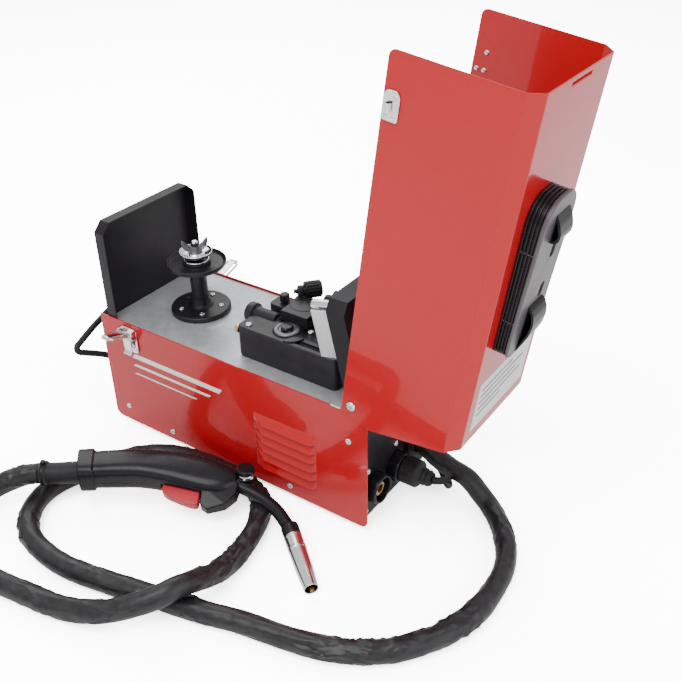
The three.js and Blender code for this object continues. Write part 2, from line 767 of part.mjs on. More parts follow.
function controlBoard() {
  return union(
    leanBox(-59.5, 46, 14, 83.5, BOARD_FRONT, 18.6),
    leanBox(-20, 20, 47, 66, 2.2, BOARD_FRONT + 0.2), // display block
    // a body and a spindle behind each knob
    ...[-KNOB_X, KNOB_X].flatMap((x) => [
      leanRod(x, KNOB_UP, BOARD_FRONT + 0.2, 6, 7, 14),
      leanRod(x, KNOB_UP, 7, -7, 3, 12),
    ]),
  );
}
put("control_board", controlBoard(), FINISH.board);
put("board_capacitor", leanRod(-56, 79.6, 19, 41.5, 5, 18), FINISH.wireChrome);

const boardSink = union(
  leanBox(-66.4, -65.2, 32.4, 79, 20.4, 37.6),
  leanBox(-66.4, -61, 32.4, 79, 19, 20.6),
);
put("board_heat_sink", boardSink, FINISH.boardSink);

const KNOB_PROFILE = [
  [0, 8.6], [3.3, 8.6], [3.3, 0.4], [9, 0.4], [9.6, 1.4], [8.2, 13], [7.2, 14], [0, 14],
];
for (const [name, x] of [["voltage_knob", -KNOB_X], ["wire_speed_knob", KNOB_X]]) {
  const knob = turned(KNOB_PROFILE, 22, leanPoint(x, KNOB_UP, 0), LEAN_NORMAL);
  put(name, knob, FINISH.panelPlastic);
}

// ---------------------------------------------------------------- power section in the case
const transformer = union(
  box(-52, -8, -28, 22, 6, 18), // core: lower and upper yoke, left and right leg
  box(-52, -8, -28, 22, 46, 54),
  box(-52, -40, -28, 22, 6, 54),
  box(-20, -8, -28, 22, 6, 54),
  box(-40.5, -19.5, -32, 26, 17, 47), // winding
  box(-50, -10, -26, 20, 2.8, 7), // foot
);
put("transformer", transformer, FINISH.copper);

const FINS = 9;
const FIN_PITCH = 6.6;
const FIN_T = 2.2;

function heatSink() {
  let sink = box(2, 60, -40, 96, 2.8, 14);
  for (let i = 0; i < FINS; i++) {
    const x = 4 + i * FIN_PITCH;
    sink = sink.add(box(x, x + FIN_T, -40, 96, 12, 62));
  }
  return sink;
}
put("heat_sink", heatSink(), FINISH.powerSink);

// ---------------------------------------------------------------- fan
const FAN_FRONT = 134;
const FAN_HALF = 40;
const BLADES = 7;

// block centred on the fan axis
const fanBox = (halfX, halfZ, minY, maxY) =>
  box(FAN_X - halfX, FAN_X + halfX, minY, maxY, FAN_Z - halfZ, FAN_Z + halfZ);
const fanRod = (fromY, toY, radius, sides) => rodY([FAN_X, FAN_Z], fromY, toY, radius, sides);

function fanHousing() {
  return union(
    cut(fanBox(FAN_HALF, FAN_HALF, FAN_FRONT, 158.6), fanRod(130, 165, 37.5, 36)),
    fanRod(FAN_FRONT, 137, 15, 20), // motor plate and shaft
    fanRod(135, 152, 2, 10),
    fanBox(39, 2, FAN_FRONT, 136), // cross struts
    fanBox(2, 39, FAN_FRONT, 136),
  );
}
put("fan_housing", fanHousing(), FINISH.fanPlastic);

const ROTOR_PROFILE = [
  [2.4, 138], [14.5, 138], [14.5, 155], [13, 156], [2.4, 156], [2.4, 138],
];
// corners of a blade: radius, distance around the circle, y
const BLADE_CORNERS = [
  [13, -5, 140], [13, -3.6, 140], [13, 5, 154], [13, 3.6, 154],
  [36, -9, 141], [36, -7.6, 141], [36, 9, 153], [36, 7.6, 153],
];

function fanRotor() {
  let rotor = turned(ROTOR_PROFILE, 22, [FAN_X, 0, FAN_Z], REARWARD);
  for (let i = 0; i < BLADES; i++) {
    const start = (2 * Math.PI * i) / BLADES;
    const blade = BLADE_CORNERS.map(([radius, around, y]) => {
      const angle = start + around / radius;
      return [FAN_X + radius * Math.cos(angle), y, FAN_Z + radius * Math.sin(angle)];
    });
    rotor = rotor.add(hull(blade));
  }
  return rotor;
}
put("fan_rotor", fanRotor(), FINISH.fanPlastic);

// ---------------------------------------------------------------- power switch
const switchHousing = cut(
  union(
    switchBlock(13.2, 10.7, 146, BACK_Y - 0.1),
    switchBlock(15.4, 12.9, BACK_Y + 0.3, BACK_Y + 2.3), // bezel
    switchBlock(13, 10.5, BACK_Y - 0.3, BACK_Y + 0.5),
  ),
  switchBlock(10.4, 7.9, BACK_Y - 11, BACK_Y + 5), // pocket for the rocker
);
put("switch_housing", switchHousing, FINISH.panelPlastic);

const ROCKER_Y = BACK_Y - 3.4;
// [y, z] from the centre of the rocker
const ROCKER_OUTLINE = [[6.9, 6.9], [5.2, 0], [6.9, -6.9], [-1.5, -6.2], [-4.5, 0], [-1.5, 6.2]];
const rocker = prismX(
  ROCKER_OUTLINE.map(([y, z]) => [ROCKER_Y + y, SWITCH_Z + z]),
  SWITCH_X - 10,
  SWITCH_X + 10,
);
put("power_rocker", rocker, FINISH.rockerRed);

// ---------------------------------------------------------------- front outputs
// heights in these profiles run forward from the front panel's face
const onPanel = ([x, z], profile, sides) => turned(profile, sides, [x, PANEL_Y, z], FORWARD);

const SOCKET_PROFILE = [
  [0, -18], [11.8, -18], [11.8, 0.3], [15.5, 0.3], [15.5, 10.8], [14.6, 12], [12.6, 12],
  [12.6, 2], [7.6, 2], [7.6, 8], [4.7, 8], [4.7, -10], [0, -10],
];
put("socket_negative", onPanel(NEGATIVE, SOCKET_PROFILE, 26), FINISH.panelPlastic);
put("socket_positive", onPanel(POSITIVE, SOCKET_PROFILE, 26), FINISH.panelPlastic);

const PLUG_PROFILE = [
  [0, -8], [4.3, -8], [4.3, 8.4], [12.1, 8.4], [12.1, 12.6], [14.2, 13.4], [14.2, 29],
  [12.8, 31], [9, 33.5], [8, 44], [7, 44.4], [0, 44.4],
];
put("polarity_plug", onPanel(POSITIVE, PLUG_PROFILE, 24), FINISH.softRubber);

// x, y, z from the plug down and back into the front panel
const LEAD_PATH = [
  [POSITIVE[0], PANEL_Y - 45.2, SOCKET_Z], [POSITIVE[0], -211.6, 36], [-4, -216.4, 35],
  [4, -218, 31.5], [11, -218.5, 25], [15.5, -217, 17.5], [20, -213.5, 10.5], [28, -207, 5],
  [38, -198, 2.5], [47, -187, 4], [52, -177, 10], [53, -168, 15.5], [53, -157, 16],
];
put("polarity_lead", tube(LEAD_PATH, 4.7, 32, 8), FINISH.cordRubber);

const GLAND_PROFILE = [
  [0, -4.2], [12.9, -4.2], [12.9, 0.3], [17.5, 0.3], [17.5, 5], [15.6, 8.6], [0, 8.6],
];
const hoseGland = cut(
  onPanel(GLAND, GLAND_PROFILE, 24),
  rodY(GLAND, PANEL_Y - 30, PANEL_Y - 2, HOSE_R + 1.9, 24), // socket for the hose
  rodY(GLAND, PANEL_Y - 10, PANEL_Y + 10, 4.2, 12), // bore
);
put("hose_gland", hoseGland, FINISH.softRubber);

// x, y, z from the gland, over the floor in loops and up to the gun
const HOSE_PATH = [
  [GLAND_X, -167.6, GLAND_Z], [GLAND_X, -171.5, GLAND_Z], [29.1, -176.8, 44.4],
  [29.2, -184, 39], [29.5, -198, 30.5], [30, -213, 25], [30, -229, 20.5], [27, -244, 12.5],
  [21.8, -259.3, 6], [8, -276, 5.3], [-9.3, -291.1, 5.3], [-34.4, -305.4, 5.3],
  [-63.5, -312.5, 5.3], [-107.2, -312.1, 5.3], [-139.9, -302.3, 5.3], [-177.1, -278.5, 5.3],
  [-202, -247.9, 5.3], [-217, -210.9, 5.3], [-227, -162.1, 5.3], [-241, -108, 5.3],
  [-251, -64, 5.3], [-260.5, -26, 5.3], [-269.9, 25.4, 5.3], [-269, 65.6, 5.3],
  [-260.8, 94.2, 5.3], [-245, 114.5, 5.3], [-222, 127.5, 5.3], [-197.6, 129.6, 5.3],
  [-168, 121, 5.3], [-138, 104, 5.3], [-110, 85, 5.3], [-95, 62, 5.3],
  [-86, 20, 5.3], [-86, -22.9, 5.3], [-92.5, -50, 5.3], [-104.5, -68, 5.3],
  [-127.6, -81.5, 5.3], [-166.3, -91.5, 5.3], [-196, -94, 9], [-222, -93.5, 20],
  [-246, -90, 29], [-264, -82, 28], [-283, -61, 20], [-296, -36, 11],
  [-306, -6, 6], [-312.5, 28.7, 5.3], [-318, 68, 5.3], [-322, 112, 5.3],
  [-311, 156, 5.3], [-286, 177, 6], [-259, 173, 12], [-238, 158, 22],
  [-222, 142, 29.5], [-213.2, 130.6, 31],
];
put("torch_hose", tube(HOSE_PATH, HOSE_R, 110, 8), FINISH.hoseRubber);

// ---------------------------------------------------------------- gun frames
const unit = (x, y, z) => new THREE.Vector3(x, y, z).normalize().toArray();
const GUN_AXIS = unit(0.51, -0.86, -0.03);
const GUN_SIDE = [-0.86, -0.51]; // level direction towards the trigger, [x, y]
const GUN_ROLL = 14; // degrees the gun lies over towards its trigger
const HANDLE_WALL = 2.4;

// the level direction [x, y] rolled over by an angle, and the direction square to it
function rolled([x, y], degrees) {
  const cosine = Math.cos(radians(degrees));
  const sine = Math.sin(radians(degrees));
  return { width: [x * cosine, y * cosine, -sine], height: [x * sine, y * sine, cosine] };
}
const GUN_CROSS = rolled(GUN_SIDE, GUN_ROLL);

// maps distances along the gun, out towards the trigger and across it to x, y, z
function gunFrame(origin, direction) {
  return (along, out, across) =>
    origin.map(
      (start, k) =>
        start +
        direction[k] * along +
        GUN_CROSS.width[k] * out +
        GUN_CROSS.height[k] * across,
    );
}
const gunAt = gunFrame([-140.5, 24.2, 31.6], unit(0.5, -0.866, -0.075));
// the halves part along a plane that follows the handle's fall and its roll
const partingAt = gunFrame([-139, 22, 33.4], unit(0.51, -0.86, -0.045));

// loft ring from a station row; its columns are those of HANDLE_STATIONS
function gunRing(row) {
  const [x, y, z, halfWidth, halfHeight, squareness = 1, offset = 0, roll = 0, yaw = 0] = row;
  const cosine = Math.cos(radians(yaw));
  const sine = Math.sin(radians(yaw));
  const level = [0, 1].map((k) => GUN_SIDE[k] * cosine + GUN_AXIS[k] * sine);
  const { width, height } = rolled(level, roll);
  const centre = [x, y, z].map((start, k) => start + width[k] * offset);
  return { centre, width, height, halfWidth, halfHeight, squareness };
}

// ---------------------------------------------------------------- gun boot and handle
// x, y, z, half width, half height
const BOOT_STATIONS = [
  [-211.8, 128.2, 31, 10.6, 10.6],
  [-210.8, 126.6, 31, 12.2, 12.2],
  [-209.2, 124, 31, 12.2, 12.2],
  [-208.2, 122.4, 31, 10.9, 10.9],
  [-200, 109.6, 31.8, 11.1, 11.1],
  [-192.4, 98.4, 32.6, 11.3, 11.3],
  [-186.6, 89.6, 33.2, 11.3, 11.3],
];
const boot = cut(
  loft(BOOT_STATIONS.map(gunRing), 18),
  rod([-220, 141.5, 30], [-205.5, 118.6, 31.2], 3, 10),
);
put("torch_boot", boot, FINISH.softRubber);

// x, y, z, half width, half height, squareness, offset to the trigger side,
// roll and yaw in degrees
const HANDLE_STATIONS = [
  [-189.5, 95.8, 34.6, 19.5, 16.5, 0.5, 0, 0, 14],
  [-180.5, 83, 35, 19.5, 16.5, 0.5, 0, 2, 12],
  [-179.6, 81.6, 35, 17.9, 15.2, 0.6, 0, 2, 11],
  [-168, 66, 35.6, 17.8, 15.6, 0.62, 0.6, 4, 6],
  [-153, 45, 35.4, 18, 16, 0.66, 1, 6, 2],
  [-139, 22, 33.6, 19, 16.2, 0.68, 2, 10, -2],
  [-128, 1, 31.4, 20, 16, 0.7, 3, 12, -4],
  [-119, -17, 29.4, 20, 15.4, 0.74, 4, 14, -4],
  [-112.4, -31.4, 27.6, 17, 13.6, 0.8, 3.6, 14, 0],
  [-107.8, -41, 26, 11.4, 11, 0.95, 1.6, 14, 0],
];
// guard nose in front of the trigger: along, out, across
const NOSE_CORNERS = [
  [41, 20, 10], [41, 37, 5], [41, 37, -7], [48, 42, 4], [48, 42, -6], [65, 35, 6],
  [65, 35, -7], [75, 22, 8], [75, 22, -8], [76, 10, 10], [76, 10, -9], [41, 18, -9],
];

function handleShell() {
  const rings = HANDLE_STATIONS.map(gunRing);
  // the hollow runs out through both ends
  const hollowRings = rings.map((ring, i) => {
    const shift = i === 0 ? -4 : i === rings.length - 1 ? 4 : 0;
    const [x, y, z] = ring.centre;
    return {
      ...ring,
      centre: [x + GUN_AXIS[0] * shift, y + GUN_AXIS[1] * shift, z],
      halfWidth: ring.halfWidth - HANDLE_WALL,
      halfHeight: ring.halfHeight - HANDLE_WALL,
    };
  });
  const nose = hull(NOSE_CORNERS.map((corner) => gunAt(...corner)));
  const triggerSlot = hull(corners(gunAt, [-1, 40.2], [11, 60], [-6.2, 6.2]));
  return cut(union(loft(rings, 20), nose), loft(hollowRings, 20), triggerSlot);
}

// slab on one side of the parting plane
const partingSlab = (from, to) => hull(corners(partingAt, [-160, 160], [-90, 90], [from, to]));
const handle = handleShell();
put("torch_handle_top", handle.intersect(partingSlab(0.2, 90)), FINISH.mouldedPlastic);
put("torch_handle_bottom", handle.intersect(partingSlab(-90, -0.2)), FINISH.mouldedPlastic);

// ---------------------------------------------------------------- gun trigger, neck and nozzle
// curved bar: along, out, half thickness
const TRIGGER_CORNERS = [
  [1, 17, 5.2], [1, 25, 4.6], [3, 28, 5], [9, 31.5, 5], [16, 34, 5],
  [24, 36.5, 5], [32, 38.5, 4.8], [37.6, 38.5, 4.6], [38.8, 36, 4.6], [38.8, 20, 5.2],
];
const trigger = hull(
  TRIGGER_CORNERS.flatMap(([along, out, half]) => [
    gunAt(along, out, half),
    gunAt(along, out, -half),
  ]),
);
put("torch_trigger", trigger, FINISH.triggerRed);

// x, y, z from the handle to the nozzle
const NECK_PATH = [
  [-112, -33, 26.2], [-109.6, -46, 25.6], [-106.6, -62, 24.8], [-105.6, -78, 22.8],
  [-108.6, -94, 19.4], [-115.6, -109, 15], [-124, -121.6, 11.2], [-130.5, -130, 9.4],
];
const neck = cut(
  tube(NECK_PATH, 6, 22, 12),
  rod([-136, -137.5, 8], [-127.5, -126.2, 10.2], 3.6, 12), // bore for the contact tip
);
put("torch_neck", neck, FINISH.neckPaint);

const NOZZLE_BASE = [-126.8, -125.2, 10.3];
const NOZZLE_AIM = [-165, -174.6, 3]; // point on the nozzle axis
const NOZZLE_DIRECTION = NOZZLE_AIM.map((end, k) => end - NOZZLE_BASE[k]);
const onNozzle = (profile, sides) => turned(profile, sides, NOZZLE_BASE, NOZZLE_DIRECTION);

const NOZZLE_PROFILE = [
  [6.5, 0], [8.3, 0], [8.3, 15], [7.9, 34], [6.9, 62.5],
  [6.1, 62.5], [6.9, 34], [7.1, 14], [6.5, 13], [6.5, 0],
];
put("torch_nozzle", onNozzle(NOZZLE_PROFILE, 26), FINISH.brightChrome);

const TIP_PROFILE = [
  [0, 2], [3.2, 2], [3.2, 14], [4.6, 16], [4.6, 34], [3.2, 36], [3.2, 54], [2, 57], [0, 57],
];
put("contact_tip", onNozzle(TIP_PROFILE, 16), FINISH.brass);

// ---------------------------------------------------------------- hinged cover, drawn closed
const COVER_T = 1.1; // sheet thickness
const COVER_CHAMFER = 10.7; // chamfer along both top folds
const COVER_BOTTOM = 133.9; // bottom edge of the closed cover
const FOLD_SHIFT = 0.414; // tan 22.5 degrees: how an inset moves the ends of a chamfer

function coverSection(inset, bottom) {
  const chamfer = COVER_CHAMFER + inset * FOLD_SHIFT;
  return chamferedSection({
    half: COVER_HALF - inset,
    bottom,
    shoulder: COVER_TOP - chamfer,
    topHalf: COVER_HALF - chamfer,
    top: COVER_TOP - inset,
  });
}

// [y, z] waste ahead of the leaning front edge and its cut lower corner
const COVER_FRONT_WASTE = [
  [-166.4, 130], [-166.4, COVER_BOTTOM], [-174.2, 163], [-151, 253], [-190, 253], [-190, 130],
];

function coverShell() {
  // waste outside the rounded rear lower corners
  const rearCorner = cut(
    prismX([[166, 132], [173, 132], [173, 140], [166, 140]], -80, 80),
    rodX([165.7, 139.9], -80, 80, 6, 24),
  );
  return cut(
    prismY(coverSection(0, COVER_BOTTOM), -176, 171.7),
    prismY(coverSection(COVER_T, COVER_BOTTOM - 5), -180, 176),
    prismX(COVER_FRONT_WASTE, -80, 80),
    rearCorner,
    box(-18, 20, 164.6, 168, 245, 255), // slot in the web by the rear edge
    ...[-1, 1].map((sign) => rodX(HINGE, sign * 80, sign * 60, 2.8, 12)), // hinge screws
  );
}
put("cover", coverShell(), FINISH.coverPaint, cover);

// ---------------------------------------------------------------- carry handle base on the cover
const CARRY_Z = COVER_TOP + 0.3;
const CARRY_LEFT = -44;
const CARRY_RIGHT = 12;
const CARRY_FRONT = -57;
const CARRY_REAR = 87;

// layer of the block, with large corners at the rear end and small ones at the front
function carryLayer(inset, minZ, maxZ) {
  const left = CARRY_LEFT + inset;
  const right = CARRY_RIGHT - inset;
  const rear = roundedRect(left, right, 0, CARRY_REAR - inset, 22 - inset, 4);
  const front = roundedRect(left, right, CARRY_FRONT + inset, 40, 11 - inset, 4);
  return union(prismZ(rear, minZ, maxZ), prismZ(front, minZ, maxZ));
}

// outlines of the strap lugs and their hollows: y, height above the handle's underside
const REAR_LUG = [[47, 14], [76, 14], [66, 19.5], [58, 22], [51, 21.8], [48, 19.5]];
const REAR_HOLLOW = [
  [50.2, 15.3], [68, 15.3], [63, 18], [57.5, 19.8], [52.5, 19.6], [50.4, 18],
];
const FRONT_LUG = [
  [-60, 14], [-7, 14], [-10, 18], [-17, 22], [-26, 23.4], [-36, 22.4], [-46, 19],
];
const FRONT_HOLLOW = [
  [-50, 15.3], [-11.5, 15.3], [-13, 17], [-18.5, 20], [-26, 21.4], [-35, 20.4], [-44, 17.6],
];

function carryHandle() {
  const lugPrism = (outline) => prismX(outline.map(([y, rise]) => [y, CARRY_Z + rise]), -26, -1);
  let block = carryLayer(0, CARRY_Z, CARRY_Z + 12);
  // grooves around the block leave ribs between them
  for (let i = 0; i < 3; i++) {
    const z = CARRY_Z + 2 + i * 3.2;
    block = cut(block, cut(carryLayer(-2, z, z + 1.5), carryLayer(1.6, z - 1, z + 3)));
  }
  return cut(
    union(
      block,
      carryLayer(-0.8, CARRY_Z + 11.4, CARRY_Z + 15), // smooth face plate
      cut(lugPrism(REAR_LUG), lugPrism(REAR_HOLLOW)),
      cut(lugPrism(FRONT_LUG), lugPrism(FRONT_HOLLOW)),
    ),
    box(-12.5, -6.5, 29, 44, CARRY_Z + 12, CARRY_Z + 18), // two slots in the face plate
    box(-11.5, -5.5, -9, 5.5, CARRY_Z + 12, CARRY_Z + 18),
  );
}
put("carry_handle", carryHandle(), FINISH.carryPlastic, cover);

// ---------------------------------------------------------------- latches and hinge screws
const LATCH_Y = 130; // middle of a latch
const BAIL_X = 76.5; // bail pivot
const BAIL_Z = 126;
const BAIL_LENGTH = 26;
const BAIL_SWING = 72; // degrees the bail hangs out from upright
const LEVER_X = 74.9; // lever pivot
const LEVER_Z = 118.6;

// box between two distances from the middle of the machine, on the signed side
const sideBox = (sign, near, far, ...rest) =>
  box(Math.min(sign * near, sign * far), Math.max(sign * near, sign * far), ...rest);
const latchBox = (sign, near, far, halfY, minZ, maxZ) =>
  sideBox(sign, near, far, LATCH_Y - halfY, LATCH_Y + halfY, minZ, maxZ);
const latchRod = (place, halfY, radius, sides) =>
  rodY(place, LATCH_Y - halfY, LATCH_Y + halfY, radius, sides);

// catch plate with a turned-up hook
function catchPlate(sign) {
  const face = COVER_HALF + 0.3;
  return union(
    sideBox(sign, face, face + 1.2, 119, 143, 135, 149),
    latchBox(sign, face + 0.5, face + 4.4, 3.6, 138.4, 139.6),
    latchBox(sign, face + 3.2, face + 4.4, 3.6, 138.6, 143),
  );
}

function latchBase(sign) {
  const ears = [119.6, 139.1].map((y) =>
    sideBox(sign, HALF_W + 1, HALF_W + 9, y, y + 1.3, 121.6, 130),
  );
  const leverEars = [122.2, 136.6].map((y) =>
    sideBox(sign, HALF_W + 1, HALF_W + 7.4, y, y + 1.2, 115.6, 121),
  );
  return cut(
    union(
      latchBox(sign, HALF_W + 0.3, HALF_W + 1.7, 11, 101, 131),
      ...ears,
      ...leverEars,
      latchRod([sign * LEVER_X, LEVER_Z], 7.7, 1, 10), // lever pin
    ),
    latchRod([sign * BAIL_X, BAIL_Z], 20, 1.7, 12),
  );
}

// wire bail, drawn upright then swung out to its rest angle
function latchBail(sign) {
  const x = sign * BAIL_X;
  const top = BAIL_Z + BAIL_LENGTH;
  const upright = union(
    latchRod([x, BAIL_Z], 11.6, 1.2, 10),
    ...[-7.4, 7.4].map((offset) => rodZ([x, LATCH_Y + offset], BAIL_Z, top, 1.2, 10)),
    latchRod([x, top], 8.6, 1.2, 10),
  );
  const swing = new THREE.Matrix4().makeRotationY(sign * radians(BAIL_SWING));
  return solid(geometry(upright).applyMatrix4(turnAbout(x, 0, BAIL_Z, swing)));
}

// flared lower end of the lever: x, half length along y, z
const LEVER_TAB = [[74.2, 5.4, 104.4], [75.6, 5.4, 104.4], [77.4, 4.4, 101.4], [78.6, 4.4, 102]];

function latchLever(sign) {
  const pivot = [sign * LEVER_X, LEVER_Z];
  const tab = hull(
    LEVER_TAB.flatMap(([x, half, z]) => [
      [sign * x, LATCH_Y - half, z],
      [sign * x, LATCH_Y + half, z],
    ]),
  );
  return cut(
    union(latchBox(sign, 74.2, 75.6, 5.4, 103.6, 118.4), latchRod(pivot, 6.2, 2.2, 12), tab),
    latchRod(pivot, 20, 1.3, 12),
  );
}

// shouldered screw through the cover into the front panel flange
const SCREW_PROFILE = [
  [0, -7], [2.45, -7], [2.45, 3.5], [4.8, 3.5], [4.8, 5], [3.4, 6], [0, 6.3],
];
const hingeScrew = (sign) =>
  turned(SCREW_PROFILE, 16, [sign * CASE_HALF, HINGE_Y, HINGE_Z], [sign, 0, 0]);

for (const [side, sign] of SIDES) {
  put("catch_" + side, catchPlate(sign), FINISH.plateChrome, cover);
  put("latch_base_" + side, latchBase(sign), FINISH.plateChrome);
  put("latch_bail_" + side, latchBail(sign), FINISH.wireChrome);
  put("latch_lever_" + side, latchLever(sign), FINISH.wireChrome);
  put("hinge_screw_" + side, hingeScrew(sign), FINISH.screwChrome);
}

// ---------------------------------------------------------------- mains cord and moulded plug
// x, y, z from inside the rear panel to the plug on the floor
const CORD_PATH = [
  [-44, 152, 62], [-44, 164, 62], [-50, 178, 64], [-64, 190, 72], [-80, 197.5, 80],
  [-87.4, 200.4, 84.6], [-86, 203, 88.6], [-78, 204, 92], [-50, 204, 104], [-22, 204, 112],
  [6, 206, 104], [26, 212, 78], [36, 222, 40], [42, 232, 8], [58, 236, -1],
  [86, 225.5, -1.6],
];
const PLUG_TURN = radians(-21);

// the plug is drawn along X, then turned about [94, 0] and moved to [84, 226]
function plugAt(x, y, z) {
  const cosine = Math.cos(PLUG_TURN);
  const sine = Math.sin(PLUG_TURN);
  return [84 + (x - 94) * cosine - y * sine, 226 + (x - 94) * sine + y * cosine, z];
}

function mainsCord() {
  const layers = (outline, minZ, maxZ) =>
    outline.flatMap(([x, y]) => [plugAt(x, y, minZ), plugAt(x, y, maxZ)]);
  const body = hull([
    ...layers(roundedRect(100, 128, -14, 14, 7, 3), -5.6, 10),
    ...layers(roundedRect(92, 100, -6, 6, 2, 2), -5.6, 4),
  ]);
  const pins = [-8, 8].map((y) => rod(plugAt(126, y, 2), plugAt(146, y, 2), 2.2, 10));
  return union(tube(CORD_PATH, 3.6, 50, 7), body, ...pins);
}
put("mains_cord", mainsCord(), FINISH.cordRubber);

export default group;
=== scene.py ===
"""A wire-feed welder with its red cover swung open, and its torch and cords on a pale floor.

Z is up, the front faces -Y and the left side -X.  The case stands over the origin, about
140 mm wide, 346 mm deep and 135 mm tall without the cover.  Shapes are drawn in millimetres
and scaled to metres when a mesh is made; shaders, lights, floor and camera are in metres.
"""
import math

import bmesh
import bpy
from mathutils import Matrix, Vector, noise
from mathutils.geometry import delaunay_2d_cdt


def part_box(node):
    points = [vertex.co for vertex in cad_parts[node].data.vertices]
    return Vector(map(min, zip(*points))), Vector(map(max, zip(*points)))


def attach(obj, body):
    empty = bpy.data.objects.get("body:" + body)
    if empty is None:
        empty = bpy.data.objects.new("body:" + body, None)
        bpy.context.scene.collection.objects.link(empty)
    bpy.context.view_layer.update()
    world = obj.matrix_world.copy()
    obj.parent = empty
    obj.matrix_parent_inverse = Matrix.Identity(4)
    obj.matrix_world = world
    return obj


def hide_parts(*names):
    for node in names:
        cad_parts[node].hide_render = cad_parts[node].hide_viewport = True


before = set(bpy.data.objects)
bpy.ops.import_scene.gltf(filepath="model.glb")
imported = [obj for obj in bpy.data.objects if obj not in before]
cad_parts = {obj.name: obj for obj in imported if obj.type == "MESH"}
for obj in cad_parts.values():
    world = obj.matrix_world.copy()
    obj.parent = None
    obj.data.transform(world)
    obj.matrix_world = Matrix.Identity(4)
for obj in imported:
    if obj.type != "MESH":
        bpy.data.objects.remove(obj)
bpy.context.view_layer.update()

MM = 0.001
DEG = math.pi / 180.0
UP, FRONT, BACK = (0, 0, 1), (0, -1, 0), (0, 1, 0)
SIDES = (("left", -1), ("right", 1))   # name, sign of x

# Places shared between sections (mm)
HINGE_Y, HINGE_Z = -156.6, 144.5       # axis the cover turns on, along x
COVER_ANGLE = 98.1                     # opening in degrees
COVER_TOP = 251.6                      # top of the cover while closed
FRONT_Y = -165                         # face of the front panel
REAR_Y = 162.3                         # face of the rear panel
SPOOL_X, SPOOL_Y = 0.0, 89.3           # axis of the spool post
DRIVE_X, IDLER_X, ROLL_Y = -28.7, -2.0, -52.0
WIRE_X, WIRE_Z = -15.0, 164.0          # wire path through the feeder, along y


# ============================================================ shader helpers
def add_node(tree, kind, inputs=None, **settings):
    """adds a shader node; inputs maps sockets to values or to sockets to link from"""
    node = tree.nodes.new("ShaderNode" + kind)
    for key, value in settings.items():
        setattr(node, key, value)
    for key, value in (inputs or {}).items():
        set_input(tree, node, key, value)
    return node


def set_input(tree, node, key, value):
    if isinstance(value, bpy.types.NodeSocket):
        tree.links.new(value, node.inputs[key])
    else:
        node.inputs[key].default_value = value


def new_material(name):
    material = bpy.data.materials.new(name)
    material.use_nodes = True
    tree = material.node_tree
    for node in list(tree.nodes):
        tree.nodes.remove(node)
    output = add_node(tree, "OutputMaterial")
    principled = add_node(tree, "BsdfPrincipled")
    tree.links.new(principled.outputs[0], output.inputs[0])
    return material, tree, principled


def object_coords(tree, stretch=(1, 1, 1)):
    source = add_node(tree, "TexCoord").outputs["Object"]
    return add_node(tree, "Mapping", {"Scale": stretch, "Vector": source}).outputs[0]


def noise_texture(tree, vector, scale, detail=3.0, roughness=0.5):
    inputs = {"Scale": scale, "Detail": detail, "Roughness": roughness, "Vector": vector}
    return add_node(tree, "TexNoise", inputs).outputs[0]


def ramp(tree, factor, low, high, stops=(0.3, 0.7)):
    node = add_node(tree, "ValToRGB", {0: factor})
    for element, stop, colour in zip(node.color_ramp.elements, stops, (low, high)):
        element.position = stop
        element.color = (*colour, 1)
    return node.outputs[0]


def map_range(tree, value, span, to):
    inputs = {1: span[0], 2: span[1], 3: to[0], 4: to[1], 0: value}
    return add_node(tree, "MapRange", inputs).outputs[0]


def bump(tree, height, strength, distance, normal=None):
    inputs = {"Strength": strength, "Distance": distance, "Height": height}
    if normal is not None:
        inputs["Normal"] = normal
    return add_node(tree, "Bump", inputs).outputs[0]


def mix_colour(tree, factor, first, second):
    return add_node(tree, "Mix", {0: factor, 6: first, 7: second}, data_type="RGBA").outputs[2]


def edge_highlight(tree, vector, width):
    """factor for a painted highlight that rises on sharp edges, broken up by noise"""
    rounded = add_node(tree, "Bevel", {"Radius": width}, samples=4).outputs[0]
    normal = add_node(tree, "NewGeometry").outputs["Normal"]
    dot = add_node(tree, "VectorMath", {0: rounded, 1: normal}, operation="DOT_PRODUCT")
    edge_lit = map_range(tree, dot.outputs["Value"], span=(0.97, 0.80), to=(0.0, 1.0))
    patches = noise_texture(tree, vector, scale=160, detail=5, roughness=0.7)
    patches = map_range(tree, patches, span=(0.45, 0.62), to=(0.15, 1.0))
    return add_node(tree, "Math", {0: edge_lit, 1: patches}, operation="MULTIPLY").outputs[0]


def surface(name, *, dark, light, rough, grain, grain_height, grain_strength, metal=0.0,
            mottle=18.0, stretch=(1, 1, 1), edge=None, edge_width=0.0006, spec=0.5,
            coat=0.0, coat_rough=0.06):
    """colour mottled from dark to light, roughness varied over a range, and a fine grain

    mottle and grain are noise scales; edge is the colour of the painted highlight on sharp
    edges.
    """
    material, tree, principled = new_material(name)
    vector = object_coords(tree, stretch)
    clouds = noise_texture(tree, vector, scale=mottle, detail=4, roughness=0.6)
    fine = noise_texture(tree, vector, scale=grain, detail=2, roughness=0.5)
    colour = ramp(tree, clouds, dark, light)
    if edge is not None:
        # painted highlight: a lighter colour on sharp edges
        edge_lit = edge_highlight(tree, vector, edge_width)
        colour = mix_colour(tree, edge_lit, colour, (*edge, 1))
    smudges = noise_texture(tree, vector, scale=mottle * 3.1, detail=5, roughness=0.65)
    inputs = {
        "Base Color": colour,
        "Roughness": map_range(tree, smudges, span=(0.3, 0.7), to=rough),
        "Metallic": metal,
        "Specular IOR Level": spec,
        "Normal": bump(tree, fine, strength=grain_strength, distance=grain_height),
    }
    if coat:
        inputs.update({"Coat Weight": coat, "Coat Roughness": coat_rough})
    for key, value in inputs.items():
        set_input(tree, principled, key, value)
    return material


